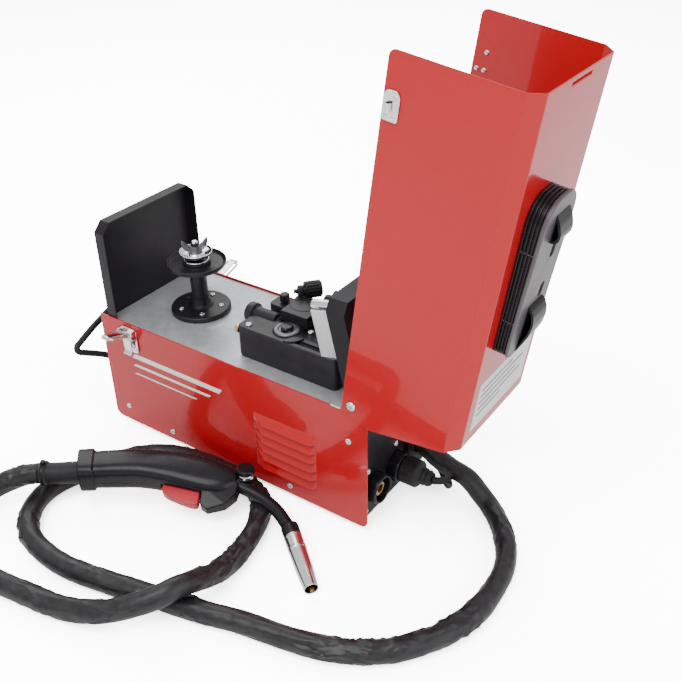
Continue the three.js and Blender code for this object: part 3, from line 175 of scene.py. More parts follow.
def zinc_material():
    """spangled galvanised sheet, brushed along y"""
    material, tree, principled = new_material("galvanised_sheet")
    vector = object_coords(tree)
    cells = add_node(tree, "TexVoronoi", {"Scale": 210, "Randomness": 1.0, "Vector": vector})
    cell = add_node(tree, "SeparateColor", {0: cells.outputs["Color"]})
    cloud = noise_texture(tree, vector, scale=16, detail=4, roughness=0.6)
    spangle = ramp(tree, cell.outputs[0], (0.40, 0.415, 0.44), (0.50, 0.515, 0.54), stops=(0, 1))
    stain = ramp(tree, cloud, (0.38, 0.395, 0.42), (0.55, 0.565, 0.59))
    brushed = object_coords(tree, stretch=(1, 0.05, 1))
    fine = noise_texture(tree, brushed, scale=900, detail=2, roughness=0.5)
    for key, value in {
        "Base Color": mix_colour(tree, 0.6, spangle, stain),
        "Roughness": map_range(tree, cell.outputs[1], span=(0, 1), to=(0.36, 0.5)),
        "Metallic": 0.55,
        "Normal": bump(tree, fine, strength=0.25, distance=0.00002),
    }.items():
        set_input(tree, principled, key, value)
    return material


def sheath_material():
    """black leathery hose sheath: small cells over creases"""
    material, tree, principled = new_material("hose_sheath")
    inputs = {"Scale": 420, "Vector": object_coords(tree)}
    cells = add_node(tree, "TexVoronoi", inputs, feature="DISTANCE_TO_EDGE")
    grain = map_range(tree, cells.outputs["Distance"], span=(0.0, 0.12), to=(0.0, 1.0))
    stretched = object_coords(tree, stretch=(1, 1, 2))
    crease = noise_texture(tree, stretched, scale=110, detail=5, roughness=0.62)
    grain_normal = bump(tree, grain, strength=0.18, distance=0.00005)
    for key, value in {
        # colour follows the crease bump, darker in its hollows: painted shade in the creases
        "Base Color": ramp(tree, crease, (0.008, 0.007, 0.0085), (0.018, 0.0162, 0.019),
                           stops=(0.32, 0.68)),
        "Roughness": map_range(tree, crease, span=(0.3, 0.7), to=(0.30, 0.50)),
        "Specular IOR Level": 0.4,
        "Normal": bump(tree, crease, strength=0.35, distance=0.0005, normal=grain_normal),
    }.items():
        set_input(tree, principled, key, value)
    return material


# lighter black, painted as a highlight on sharp edges
BLACK_EDGE_HIGHLIGHT = (0.045, 0.042, 0.047)

# each edge colour below is a painted highlight on sharp edges
MATERIALS = {
    "red": surface(
        "red_paint", dark=(0.45, 0.007, 0.011), light=(0.47, 0.008, 0.012), rough=(0.17, 0.20),
        mottle=3, grain=1800, grain_height=4e-6, grain_strength=0.15, coat=0.42,
        coat_rough=0.02, edge=(0.55, 0.03, 0.035), edge_width=0.0004, spec=0.16),
    "black": surface(
        "black_powder_paint", dark=(0.008, 0.0065, 0.009), light=(0.013, 0.0105, 0.014),
        rough=(0.36, 0.48), mottle=14, grain=1300, grain_height=6e-5, grain_strength=0.5,
        edge=BLACK_EDGE_HIGHLIGHT, spec=0.22),
    "nylon": surface(
        "black_nylon", dark=(0.009, 0.0078, 0.010), light=(0.016, 0.0138, 0.0175),
        rough=(0.30, 0.42), mottle=30, grain=1900, grain_height=4e-5, grain_strength=0.4,
        edge=BLACK_EDGE_HIGHLIGHT, spec=0.28),
    "gloss": surface(
        "black_moulding", dark=(0.007, 0.006, 0.008), light=(0.012, 0.0105, 0.013),
        rough=(0.22, 0.32), mottle=22, grain=1600, grain_height=2e-5, grain_strength=0.25,
        edge=(0.030, 0.028, 0.032), spec=0.25),
    "rubber": surface(
        "rubber", dark=(0.008, 0.0072, 0.0085), light=(0.017, 0.0155, 0.018),
        rough=(0.42, 0.56), mottle=40, grain=1200, grain_height=5e-5, grain_strength=0.4,
        spec=0.28),
    "grey_plate": surface(
        "handle_plate", dark=(0.070, 0.062, 0.070), light=(0.088, 0.079, 0.088),
        rough=(0.34, 0.44), mottle=25, grain=2100, grain_height=5e-5, grain_strength=0.45,
        edge=(0.14, 0.13, 0.14)),
    "chrome": surface(
        "chrome", dark=(0.72, 0.72, 0.74), light=(0.82, 0.82, 0.84), rough=(0.08, 0.17),
        metal=1.0, mottle=60, grain=1200, grain_height=1e-5, grain_strength=0.15),
    "steel": surface(
        "bright_steel", dark=(0.55, 0.55, 0.56), light=(0.70, 0.70, 0.71), rough=(0.22, 0.34),
        metal=1.0, mottle=70, grain=1400, grain_height=2e-5, grain_strength=0.3),
    "alu": surface(
        "aluminium", dark=(0.62, 0.63, 0.65), light=(0.74, 0.75, 0.77), rough=(0.26, 0.40),
        metal=1.0, mottle=40, grain=1200, grain_height=2e-5, grain_strength=0.4,
        stretch=(1, 1, 0.12)),
    "cast": surface(
        "cast_metal", dark=(0.10, 0.10, 0.11), light=(0.17, 0.17, 0.18), rough=(0.30, 0.46),
        metal=0.85, mottle=60, grain=700, grain_height=1e-4, grain_strength=0.5),
    "brass": surface(
        "brass", dark=(0.55, 0.36, 0.12), light=(0.72, 0.51, 0.22), rough=(0.20, 0.34),
        metal=1.0, mottle=80, grain=1200, grain_height=3e-5, grain_strength=0.4),
    "copper": surface(
        "varnished_copper", dark=(0.28, 0.10, 0.04), light=(0.42, 0.17, 0.07),
        rough=(0.24, 0.4), metal=0.4, mottle=60, grain=500, grain_height=1e-4,
        grain_strength=0.5, stretch=(1, 1, 6)),
    "red_plastic": surface(
        "red_trigger", dark=(0.42, 0.012, 0.025), light=(0.50, 0.018, 0.032),
        rough=(0.22, 0.34), mottle=40, grain=1500, grain_height=3e-5, grain_strength=0.35,
        edge=(0.6, 0.08, 0.09)),
    "board": surface(
        "circuit_board", dark=(0.012, 0.09, 0.045), light=(0.02, 0.14, 0.07),
        rough=(0.24, 0.36), mottle=120, grain=800, grain_height=5e-5, grain_strength=0.5),
    "label": surface(
        "blank_label", dark=(0.66, 0.67, 0.69), light=(0.72, 0.73, 0.75), rough=(0.38, 0.5),
        mottle=30, grain=1500, grain_height=1e-5, grain_strength=0.2),
    "white": surface(
        "white_print", dark=(0.80, 0.78, 0.77), light=(0.88, 0.86, 0.85), rough=(0.34, 0.44),
        mottle=60, grain=1500, grain_height=1e-5, grain_strength=0.2),
    # near black, for painted shade in recesses
    "dark": surface(
        "painted_recess_shade", dark=(0.003, 0.003, 0.003), light=(0.006, 0.006, 0.006),
        rough=(0.6, 0.8), mottle=40, grain=900, grain_height=2e-5, grain_strength=0.3),
    "zinc": zinc_material(),
    "sheath": sheath_material(),
}


# ============================================================ objects
# A part is a pair (vertices in mm, faces).
def new_mesh(name, parts, recalc=True):
    verts, faces = [], []
    for part_verts, part_faces in parts:
        start = len(verts)
        verts.extend(Vector(v) * MM for v in part_verts)
        faces.extend(tuple(i + start for i in face) for face in part_faces)
    mesh = bpy.data.meshes.new(name)
    mesh.from_pydata(verts, [], faces)
    work = bmesh.new()
    work.from_mesh(mesh)
    bmesh.ops.remove_doubles(work, verts=work.verts, dist=1e-6)
    if recalc:
        bmesh.ops.recalc_face_normals(work, faces=work.faces)
    work.to_mesh(mesh)
    work.free()
    return mesh


def new_object(name, mesh):
    ob = bpy.data.objects.new(name, mesh)
    bpy.context.scene.collection.objects.link(ob)
    return ob


def bare(name, parts, mat, recalc=True):
    """an object that does not ride a body yet, ready for cutting or finishing"""
    ob = new_object(name, new_mesh(name, parts, recalc))
    ob.data.materials.append(MATERIALS[mat])
    return ob


def boolean(ob, operation, parts):
    for part in parts:
        tool_mesh = new_mesh("boolean_tool", [part])
        tool = new_object("boolean_tool", tool_mesh)
        modifier = ob.modifiers.new("boolean", "BOOLEAN")
        modifier.operation = operation
        modifier.solver = "EXACT"
        modifier.object = tool
        bpy.context.view_layer.objects.active = ob
        with bpy.context.temp_override(object=ob, active_object=ob, selected_objects=[ob]):
            bpy.ops.object.modifier_apply(modifier=modifier.name)
        bpy.data.objects.remove(tool)
        bpy.data.meshes.remove(tool_mesh)


def add_bevel(ob, width, segments, angle):
    bevel = ob.modifiers.new("bevel", "BEVEL")
    bevel.width = width * MM
    bevel.segments = segments
    bevel.limit_method = "ANGLE"
    bevel.angle_limit = angle * DEG
    normals = ob.modifiers.new("wnormal", "WEIGHTED_NORMAL")
    normals.keep_sharp = True
    normals.weight = 80


def shade(ob, sharp_angle):
    for polygon in ob.data.polygons:
        polygon.use_smooth = True
    ob.data.set_sharp_from_angle(angle=sharp_angle * DEG)


def finish(ob, mat, body="case", replaces=None, smooth=35, bevel=0.0, segments=2,
           bevel_angle=35):
    shade(ob, smooth)
    if bevel:
        add_bevel(ob, bevel, segments, bevel_angle)
    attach(ob, body)
    if replaces:
        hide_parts(replaces)


def piece(name, parts, mat, body="case", replaces=None, matrix=None, solid=0.0, offset=-1.0,
          **options):
    """a finished object; solid is the wall given to an open sheet"""
    ob = bare(name, parts, mat, recalc=not solid)
    if matrix is not None:
        ob.data.transform(matrix)
    if solid:
        wall = ob.modifiers.new("solid", "SOLIDIFY")
        wall.thickness = solid * MM
        wall.offset = offset
        wall.use_even_offset = True
    finish(ob, mat, body, replaces, **options)


# ============================================================ outlines
def point(x, y, z):
    return Vector((x, y, z))


def yz_plate(side=1):
    """places an outline drawn in (y, z) and extruded along x, mirrored for side -1"""
    return lambda y, z, x: Vector((side * x, y, z))


def xz_plate(side=1):
    """places an outline drawn in (x, z) and extruded along y, mirrored for side -1"""
    return lambda x, z, y: Vector((side * x, y, z))


def arc(x, y, radius, start, sweep, steps):
    angles = [(start + sweep * i / steps) * DEG for i in range(steps + 1)]
    return [(x + radius * math.cos(a), y + radius * math.sin(a)) for a in angles]


def rounded_rect(x0, x1, y0, y1, radius, steps=6):
    return (arc(x1 - radius, y1 - radius, radius, 0, 90, steps)
            + arc(x0 + radius, y1 - radius, radius, 90, 90, steps)
            + arc(x0 + radius, y0 + radius, radius, 180, 90, steps)
            + arc(x1 - radius, y0 + radius, radius, 270, 90, steps))


def circle(x, y, radius, sides=40):
    angles = [2 * math.pi * i / sides for i in range(sides)]
    return [(x + radius * math.cos(a), y + radius * math.sin(a)) for a in angles]


def fillet(outline, radius, steps=4, closed=False):
    """rounds the corners of a polyline of 2-D points"""
    points = [Vector(p) for p in outline]
    count = len(points)
    out = []
    for i, corner in enumerate(points):
        if not closed and i in (0, count - 1):
            out.append(tuple(corner))
            continue
        back = points[i - 1] - corner
        ahead = points[(i + 1) % count] - corner
        if back.length < 1e-6 or ahead.length < 1e-6:
            out.append(tuple(corner))
            continue
        reach = min(radius, back.length * 0.45, ahead.length * 0.45)
        if abs(back.normalized().cross(ahead.normalized())) < 0.03:
            out.append(tuple(corner))
            continue
        start = corner + back.normalized() * reach
        end = corner + ahead.normalized() * reach
        for k in range(steps + 1):
            t = k / steps
            out.append(tuple((1 - t) ** 2 * start + 2 * t * (1 - t) * corner + t * t * end))
    return out


def closed_fillet(outline, radius, steps):
    return fillet(outline, radius, steps, closed=True)


def is_inside(spot, loop):
    x, y = spot
    inside = False
    for i, (xa, ya) in enumerate(loop):
        xb, yb = loop[(i + 1) % len(loop)]
        if (ya > y) != (yb > y) and x < (xb - xa) * (y - ya) / (yb - ya) + xa:
            inside = not inside
    return inside


# ============================================================ parts
def basis(axis):
    along = Vector(axis).normalized()
    guide = Vector(UP) if abs(along.z) < 0.9 else Vector(BACK)
    across = guide.cross(along).normalized()
    return across, along.cross(across), along


def walls(rings, sides):
    """quads between successive rings of vertices"""
    return [(j * sides + i, j * sides + (i + 1) % sides,
             (j + 1) * sides + (i + 1) % sides, (j + 1) * sides + i)
            for j in range(rings - 1) for i in range(sides)]


def loft(rings):
    sides = len(rings[0])
    faces = walls(len(rings), sides)
    faces.append(tuple(range(sides - 1, -1, -1)))
    faces.append(tuple((len(rings) - 1) * sides + i for i in range(sides)))
    return [p for ring in rings for p in ring], faces


def lathe(profile, at, axis=UP, sides=64, rounding=0.5, wobble=None):
    """turns a profile of (radius, height) about an axis

    wobble(angle, radius, height) adds to the radius.
    """
    profile = fillet(profile, rounding) if rounding else profile
    across, aside, along = basis(axis)
    origin = Vector(at)
    verts, faces, rows = [], [], []
    for radius, height in profile:
        if radius < 1e-4:
            rows.append([len(verts)])
            verts.append(origin + along * height)
            continue
        rows.append(range(len(verts), len(verts) + sides))
        for i in range(sides):
            angle = 2 * math.pi * i / sides
            reach = radius + (wobble(angle, radius, height) if wobble else 0.0)
            verts.append(origin + across * (reach * math.cos(angle))
                         + aside * (reach * math.sin(angle)) + along * height)
    for low, high in zip(rows, rows[1:]):
        if len(low) == len(high) == 1:
            continue
        for i in range(sides):
            j = (i + 1) % sides
            if len(low) == 1:
                faces.append((low[0], high[j], high[i]))
            elif len(high) == 1:
                faces.append((low[i], low[j], high[0]))
            else:
                faces.append((low[i], low[j], high[j], high[i]))
    return verts, faces


def turned(name, mat, profile, at, axis=UP, body="case", replaces=None, smooth=35, **shape):
    piece(name, [lathe(profile, at, axis, **shape)], mat, body, replaces, smooth=smooth)


def flutes(count, depth, beyond, heights=(-math.inf, math.inf), power=1):
    """wobble that cuts grooves where the radius is over beyond and within the heights"""
    def wobble(angle, radius, height):
        if radius > beyond and heights[0] < height < heights[1]:
            return -depth * max(0.0, math.cos(count * angle)) ** power
        return 0.0
    return wobble


def prism(outline, z0, z1, place=point, chamfer=0.6, steps=3):
    """a closed prism of a simple outline with rounded rims"""
    points = [Vector(p) for p in outline]
    count = len(points)
    area = sum(points[i].cross(points[(i + 1) % count]) for i in range(count))
    if area < 0:
        points = points[::-1]
    miters = []
    for i in range(count):
        before = points[i] - points[i - 1]
        after = points[(i + 1) % count] - points[i]
        normal = Vector((0, 0))
        if before.length > 1e-9:
            normal = Vector((before.y, -before.x)).normalized()
        after_normal = normal
        if after.length > 1e-9:
            after_normal = Vector((after.y, -after.x)).normalized()
        miter = normal + after_normal
        if miter.length < 1e-6:
            miter = normal
        miter = miter.normalized()
        scale = 1.0 / max(0.5, miter.dot(normal)) if normal.length else 1.0
        miters.append(miter * scale)
    turns = [(math.pi / 2) * k / steps for k in range(steps + 1)]
    rim = [(chamfer * (1 - math.sin(t)), chamfer * (1 - math.cos(t))) for t in turns]
    levels = [(inset, z0 + rise) for inset, rise in rim]
    levels += [(inset, z1 - rise) for inset, rise in reversed(rim)]
    rings = []
    for inset, z in levels:
        ring = [p - miter * inset for p, miter in zip(points, miters)]
        rings.append([place(p.x, p.y, z) for p in ring])
    return loft(rings)


def box(x0, x1, y0, y1, z0, z1, place=point, radius=0.6):
    outline = rounded_rect(x0, x1, y0, y1, min(radius, (x1 - x0) * 0.45, (y1 - y0) * 0.45), 3)
    return prism(outline, z0, z1, place, chamfer=min(radius, (z1 - z0) * 0.45))


def sheet(outline, holes, place):
    """a flat triangulated sheet with holes"""
    points, edges = [], []
    for loop in [outline, *holes]:
        start = len(points)
        points.extend(Vector(p) for p in loop)
        edges.extend((start + i, start + (i + 1) % len(loop)) for i in range(len(loop)))
    verts, _, triangles, *_ = delaunay_2d_cdt(points, edges, [], 0, 1e-5)
    faces = []
    for face in triangles:
        centre = sum((verts[i] for i in face), Vector((0, 0))) / len(face)
        if is_inside(centre, outline) and not any(is_inside(centre, h) for h in holes):
            faces.append(tuple(face))
    return [place(p.x, p.y) for p in verts], faces


# knot pairs blended at each level of a Catmull-Rom pyramid
CATMULL_LEVELS = (((0, 1), (1, 2), (2, 3)), ((0, 2), (1, 3)), ((1, 2),))


def curve(points, step):
    """points about step apart on a centripetal Catmull-Rom curve, and its length"""
    knots = [Vector(p) for p in points]
    knots = [knots[0] * 2 - knots[1]] + knots + [knots[-1] * 2 - knots[-2]]
    dense = []
    for i in range(1, len(knots) - 2):
        four = knots[i - 1:i + 3]
        times = [0.0]
        for a, b in zip(four, four[1:]):
            times.append(times[-1] + max(1e-4, (b - a).length ** 0.5))
        count = max(2, int((four[2] - four[1]).length / step * 4))
        for k in range(count):
            now = times[1] + (times[2] - times[1]) * k / count
            level = four
            for spans in CATMULL_LEVELS:
                level = [a * ((times[q] - now) / (times[q] - times[p]))
                         + b * ((now - times[p]) / (times[q] - times[p]))
                         for (p, q), a, b in zip(spans, level, level[1:])]
            dense.append(level[0])
    dense.append(knots[-2])
    length = sum((b - a).length for a, b in zip(dense, dense[1:]))
    count = max(3, int(round(length / step)))
    even, passed, j = [dense[0]], 0.0, 0
    for k in range(1, count):
        want = length * k / count
        while j < len(dense) - 2 and passed + (dense[j + 1] - dense[j]).length < want:
            passed += (dense[j + 1] - dense[j]).length
            j += 1
        span = (dense[j + 1] - dense[j]).length
        share = min(1.0, max(0.0, (want - passed) / max(span, 1e-9)))
        even.append(dense[j].lerp(dense[j + 1], share))
    even.append(dense[-1])
    return even, length


def tube(points, radius, step=3.0, sides=24, shape=None):
    """a capped tube; radius may be a function of the share of the length

    shape(along, angle, surface point, length, outward) adds to the radius.
    """
    path, length = curve(points, step)
    last = len(path) - 1
    tangents = [(path[min(last, i + 1)] - path[max(0, i - 1)]).normalized()
                for i in range(last + 1)]
    across = basis(tangents[0])[0]
    verts = []
    along = 0.0
    for i, (centre, tangent) in enumerate(zip(path, tangents)):
        if i:
            along += (path[i] - path[i - 1]).length
        across = (across - tangent * across.dot(tangent)).normalized()
        aside = tangent.cross(across)
        base = radius(along / length) if callable(radius) else radius
        for k in range(sides):
            angle = 2 * math.pi * k / sides
            outward = across * math.cos(angle) + aside * math.sin(angle)
            reach = base
            if shape:
                reach += shape(along, angle, centre + outward * base, length, outward)
            verts.append(centre + outward * reach)
    faces = walls(last + 1, sides)
    start, end = len(verts), last * sides
    verts += [path[0], path[-1]]
    faces += [(start, (k + 1) % sides, k) for k in range(sides)]
    faces += [(start + 1, end + k, end + (k + 1) % sides) for k in range(sides)]
    return verts, faces


def strip(path, half_thickness, y_span, side):
    """a folded strip: a path in (x, z) given thickness and swept over y"""
    path = [Vector(p) for p in path]
    verts, faces = [], []
    for i, p in enumerate(path):
        run = (path[min(len(path) - 1, i + 1)] - path[max(0, i - 1)]).normalized()
        normal = Vector((-run.y, run.x)) * half_thickness
        for q in (p + normal, p - normal):
            verts += [Vector((side * q.x, y, q.y)) for y in y_span]
    for a in range(0, len(verts) - 4, 4):
        b = a + 4
        faces += [(a, a + 1, b + 1, b), (a + 2, b + 2, b + 3, a + 3),
                  (a, b, b + 2, a + 2), (a + 1, a + 3, b + 3, b + 1)]
    faces += [(0, 2, 3, 1), tuple(len(verts) - 4 + i for i in (0, 1, 3, 2))]
    return verts, faces


# shares of (radius, height) up a pan head
SCREW_ROWS = ((1, 0), (1, 0.35), (0.93, 0.72), (0.74, 0.93), (0.5, 1), (0.3, 1), (0.12, 1))


def screw(at, axis, radius, height, sides=28):
    """pan head with a cross recess pressed into it"""
    across, aside, along = basis(axis)
    rings = []
    for radius_share, height_share in SCREW_ROWS:
        reach = radius * radius_share
        ring = []
        for k in range(sides):
            angle = 2 * math.pi * k / sides
            x, y, z = reach * math.cos(angle), reach * math.sin(angle), height * height_share
            if reach < radius * 0.62 and min(abs(x), abs(y)) < radius * 0.17:
                z -= height * 0.55 * (1 - reach / (radius * 0.9))
            ring.append(Vector(at) + across * x + aside * y + along * z)
        rings.append(ring)
    return loft(rings)


def screws(name, spots, axis, radius, height):
    piece(name, [screw(at, axis, radius, height) for at in spots], "chrome", smooth=50)


def rivet(at, axis, radius, height):
    profile = [(0, -0.2), (radius, -0.2), (radius, 0.15), (radius * 0.75, height * 0.8),
               (radius * 0.3, height), (0, height)]
    return lathe(profile, at, axis, sides=24, rounding=0.2)


def rod(start, end, radius, sides=40):
    start, run = Vector(start), Vector(end) - Vector(start)
    profile = [(0, 0), (radius, 0), (radius, run.length), (0, run.length)]
    return lathe(profile, start, run, sides=sides, rounding=0)


# ============================================================ cover
# Drawn closed, then turned about its hinge.
COVER_OPENING = (Matrix.Translation((0, HINGE_Y * MM, HINGE_Z * MM))
                 @ Matrix.Rotation(COVER_ANGLE * DEG, 4, "X")
                 @ Matrix.Translation((0, -HINGE_Y * MM, -HINGE_Z * MM)))


def cover_piece(name, parts, mat, **options):
    piece(name, parts, mat, "cover", matrix=COVER_OPENING, **options)


def bend(before, corner, after, radius):
    """a true arc of seven points round a corner"""
    before, corner, after = Vector(before), Vector(corner), Vector(after)
    back, ahead = (before - corner).normalized(), (after - corner).normalized()
    half = math.acos(max(-1, min(1, back.dot(ahead)))) / 2
    reach = radius / math.tan(half)
    centre = corner + (back + ahead).normalized() * (radius / math.sin(half))
    start, end = corner + back * reach - centre, corner + ahead * reach - centre
    first, last = math.atan2(start.y, start.x), math.atan2(end.y, end.x)
    while last - first > math.pi:
        last -= 2 * math.pi
    while last - first < -math.pi:
        last += 2 * math.pi
    angles = [first + (last - first) * k / 6 for k in range(7)]
    return [(centre.x + radius * math.cos(a), centre.y + radius * math.sin(a)) for a in angles]


def cover_shell():
    half_width, slope, bottom, bend_radius = 71.5, 10.7, 133.9, 2.2
    knee_z = 163.5                                      # the front edge changes slope here
    front_low, front_knee, front_top = -166.4, -174.3, -151.8
    back_y, foot_radius, foot_z = 171.7, 6.0, 139.9     # rear edge, rounded at its foot
    slot_x = (-17.5, 19.7)                              # slot near the rear of the top
    side_z = (bottom, 134.6, 135.6, 136.8, 138.2, foot_z, 141.5, 143.3, HINGE_Z, 145.7, 147.5,
              152, knee_z, 190, 215)
    shares = (0.0, 0.02, 0.1, 0.3, 0.5, 0.7, 0.9)       # columns from front to back
    insets = (7.1, 3.7, 1.5, 0)                         # columns ahead of the rear edge

    corners = [(-half_width, bottom), (-half_width, COVER_TOP - slope),
               (-half_width + slope, COVER_TOP), (half_width - slope, COVER_TOP),
               (half_width, COVER_TOP - slope), (half_width, bottom)]
    bends = [bend(*corners[i:i + 3], bend_radius) for i in range(4)]
    section = [(-half_width, z) for z in side_z] + bends[0] + bends[1]
    section += [(x, COVER_TOP) for x in (-40, -17.4, 0, 19.6, 40)]
    section += bends[2] + bends[3] + [(half_width, z) for z in reversed(side_z)]

    def front_edge(z):
        if z <= knee_z:
            return front_low + (z - bottom) / (knee_z - bottom) * (front_knee - front_low)
        return front_knee + (z - knee_z) / (COVER_TOP - knee_z) * (front_top - front_knee)

    def back_edge(z):
        if z >= foot_z:
            return back_y
        drop = foot_z - z
        return back_y - foot_radius + math.sqrt(max(0.0, foot_radius ** 2 - drop * drop))

    verts, faces = [], []
    for x, z in section:
        front, back = front_edge(z), back_edge(z)
        verts += [(x, front + (back - front) * share * 0.96, z) for share in shares]
        verts += [(x, back - inset, z) for inset in insets]
    columns = len(shares) + len(insets)
    for i, ((xa, za), (xb, zb)) in enumerate(zip(section, section[1:])):
        on_top = min(za, zb) > 251
        in_slot = on_top and min(xa, xb) >= slot_x[0] and max(xa, xb) <= slot_x[1]
        for j in range(columns - 1):
            if in_slot and j == len(shares):
                continue
            p = i * columns + j
            faces.append((p, p + 1, p + columns + 1, p + columns))
    cover_piece("cover_shell", [(verts, faces)], "red", replaces="cover", smooth=30,
                solid=1.1, offset=1.0, bevel=0.28, bevel_angle=60)


# ---- carry handle on the cover: extent, and a place function that deepens it to the rear
HANDLE_X = (-44.0, 12.0)
HANDLE_Y = (-57.0, 87.0)


def on_handle(x, y, z):
    depth = (13.2 + (y + 60.0) * 4.2 / 142.0) / 15.0
    return Vector((x, y, COVER_TOP + (z - COVER_TOP) * depth))


def handle_outline(inset, rear_radius=22.0, front_radius=11.0):
    x0, x1 = HANDLE_X[0] + inset, HANDLE_X[1] - inset
    y0, y1 = HANDLE_Y[0] + inset, HANDLE_Y[1] - inset
    rear, front = rear_radius, front_radius
    return (arc(x1 - rear, y1 - rear, rear, 0, 90, 14)
            + arc(x0 + rear, y1 - rear, rear, 90, 90, 14)
            + arc(x0 + front, y0 + front, front, 180, 90, 14)
            + arc(x1 - front, y0 + front, front, 270, 90, 14))


def handle_bed():
    layers = [prism(handle_outline(2.2, 20), COVER_TOP + 0.3, COVER_TOP + 12.2,
                    on_handle, chamfer=0.2)]
    for i in range(4):
        z = COVER_TOP + 0.4 + i * 2.85
        layers.append(prism(handle_outline(0), z, z + 1.75, on_handle, chamfer=0.55))
    cover_piece("handle_ribs", layers, "gloss", replaces="carry_handle", smooth=40)

    # thin upright ribs across the grooves
    ties = []
    for y in (43.0, -21.0):
        for x0, x1 in ((HANDLE_X[0] + 0.3, HANDLE_X[0] + 3.0),
                       (HANDLE_X[1] - 3.0, HANDLE_X[1] - 0.3)):
            ties.append(box(x0, x1, y - 0.45, y + 0.45, COVER_TOP + 0.6, COVER_TOP + 11.6,
                            on_handle, radius=0.2))
    cover_piece("handle_ties", ties, "grey_plate", smooth=40)


def handle_face():
    """smooth face plate with two slots, and near-black floors in them as painted shade"""
    slots = ((-13.8, -5.6, 29.6, 43.6), (-12.8, -4.6, -8.6, 5.2))   # x0, x1, y0, y1

    def slot_prisms(inset, z0, z1, chamfer):
        outlines = [rounded_rect(x0 + inset, x1 - inset, y0 + inset, y1 - inset, 3.6 - inset)
                    for x0, x1, y0, y1 in slots]
        return [prism(o, COVER_TOP + z0, COVER_TOP + z1, on_handle, chamfer) for o in outlines]

    plate = bare("handle_face", [prism(handle_outline(-0.6, 22.6, 11.6), COVER_TOP + 11.75,
                                       COVER_TOP + 15.0, on_handle, chamfer=1.1, steps=5)],
                 "grey_plate")
    # the cutters rise past the plate's top, to z = 270.6
    boolean(plate, "DIFFERENCE", slot_prisms(0, 12.6, 19, chamfer=0.1))
    plate.data.transform(COVER_OPENING)
    finish(plate, "grey_plate", "cover", smooth=30, bevel=0.3, bevel_angle=45)
    # near-black sheets on the slot floors: painted shade in the slots
    cover_piece("handle_slot_shade_floors", slot_prisms(0.1, 12.3, 12.75, chamfer=0.05), "dark")


def handle_lug(name, outer, inner, x0, x1):
    """a strap loop drawn in (y, height): an open tunnel with a closed far end"""
    outer = closed_fillet(outer, 2.0, 5)
    inner = closed_fillet(inner, 1.2, 4)
    loop = sheet(outer, [inner], lambda y, z: on_handle((x0 + x1) / 2, y, COVER_TOP + z))
    cover_piece(name, [loop], "gloss", smooth=32, solid=x1 - x0, offset=0.0, bevel=0.7,
                segments=3, bevel_angle=40)
    end = prism(inner, x1 - 4.4, x1 - 3.2, lambda y, z, x: on_handle(x, y, COVER_TOP + z),
                chamfer=0.02, steps=1)
    cover_piece(name + "_end", [end], "nylon")


def cover_label():
    """a blank label with five plain bars"""
    plate = prism(rounded_rect(-50, 53, -139, -86, 1.5, 4), COVER_TOP + 0.02,
                  COVER_TOP + 0.18, chamfer=0.05)
    cover_piece("cover_label", [plate], "label", smooth=30)
    bars = [prism(rounded_rect(-44, -44 + width, y, y + 2.4, 0.6, 3), COVER_TOP + 0.185,
                  COVER_TOP + 0.24, chamfer=0.01)
            for y, width in ((-97, 60), (-104, 84), (-111, 72), (-118, 84), (-125, 46))]
    cover_piece("cover_label_bars", bars, "grey_plate", smooth=30)


def cover_catch(name, side):
    """hooked plate riveted to the free end of a cover side"""
    face_x = 71.8
    outline = [(119, 135), (139, 135), (143, 138), (143, 146), (139, 149), (119, 149)]
    rivets = ((122.6, 138.6), (122.6, 145.6), (137.6, 145.2))   # y, z
    hook = [(face_x + 0.6, 138.4)] + arc(face_x + 2.6, 140.6, 2.2, -90, 200, 12)
    parts = [prism(closed_fillet(outline, 2.5, 5), face_x, face_x + 1.2, yz_plate(side),
                   chamfer=0.35),
             strip(hook, 0.45, (126.4, 133.6), side)]
    parts += [rivet((side * (face_x + 1.1), y, z), (side, 0, 0), 2.1, 0.9) for y, z in rivets]
    cover_piece("catch_plate_" + name, parts, "chrome", replaces="catch_" + name, smooth=40,
                bevel=0.12)
    # rivet tails on the inside of the cover side
    tails = [rivet((side * 70.35, y, z), (-side, 0, 0), 2.3, 1.1) for y, z in rivets]
    cover_piece("catch_rivets_" + name, tails, "steel")


cover_shell()
handle_bed()
handle_face()
handle_lug(
    "handle_lug_upper",
    [(49, 14.4), (49.6, 18.8), (52.2, 21.4), (58, 21.6), (66, 19.2), (75, 14.4)],
    [(51.2, 15.6), (51.6, 18.0), (53.6, 19.4), (57.6, 19.6), (63, 17.8), (68, 15.6)],
    x0=-26, x1=-2)
handle_lug(
    "handle_lug_lower",
    [(-58, 14.4), (-46, 19.4), (-36, 22.8), (-26, 23.6), (-18.5, 22.0), (-12.6, 18.6),
     (-10.8, 14.4)],
    [(-52, 15.4), (-44, 18.0), (-35, 21.0), (-26, 21.6), (-19.6, 20.2), (-15.2, 17.4),
     (-14.4, 15.6)],
    x0=-27, x1=-1)
cover_label()
for side_name, side_sign in SIDES:
    cover_catch(side_name, side_sign)

# ============================================================ side panels
PANEL_X = 70.0                    # distance of the sheet from the middle
PANEL_END_Y, PANEL_TOP = 172.8, 135.3
PANEL_CORNER = 8
PANEL_SCREWS = ((-152, 100.8), (83.9, 10.8), (-78.8, 11), (150, 20))   # y, z
LOUVRE_Y, LOUVRE_Z = (-117.0, -30.0), (20.0, 93.5)                     # pressed field
LOUVRE_COUNT, LOUVRE_FIRST, LOUVRE_PITCH, LOUVRE_DEPTH = 6, 23.0, 11.1, 5.4
# (share of depth, height above the lip)
LOUVRE_PROFILE = ((1.0, 0), (1.0, 0.3), (0.95, 0.75), (0.84, 1.6), (0.72, 2.7), (0.58, 4.0),
                  (0.43, 5.4), (0.27, 6.9), (0.12, 8.3), (0.03, 9.2), (0.0, 9.9))


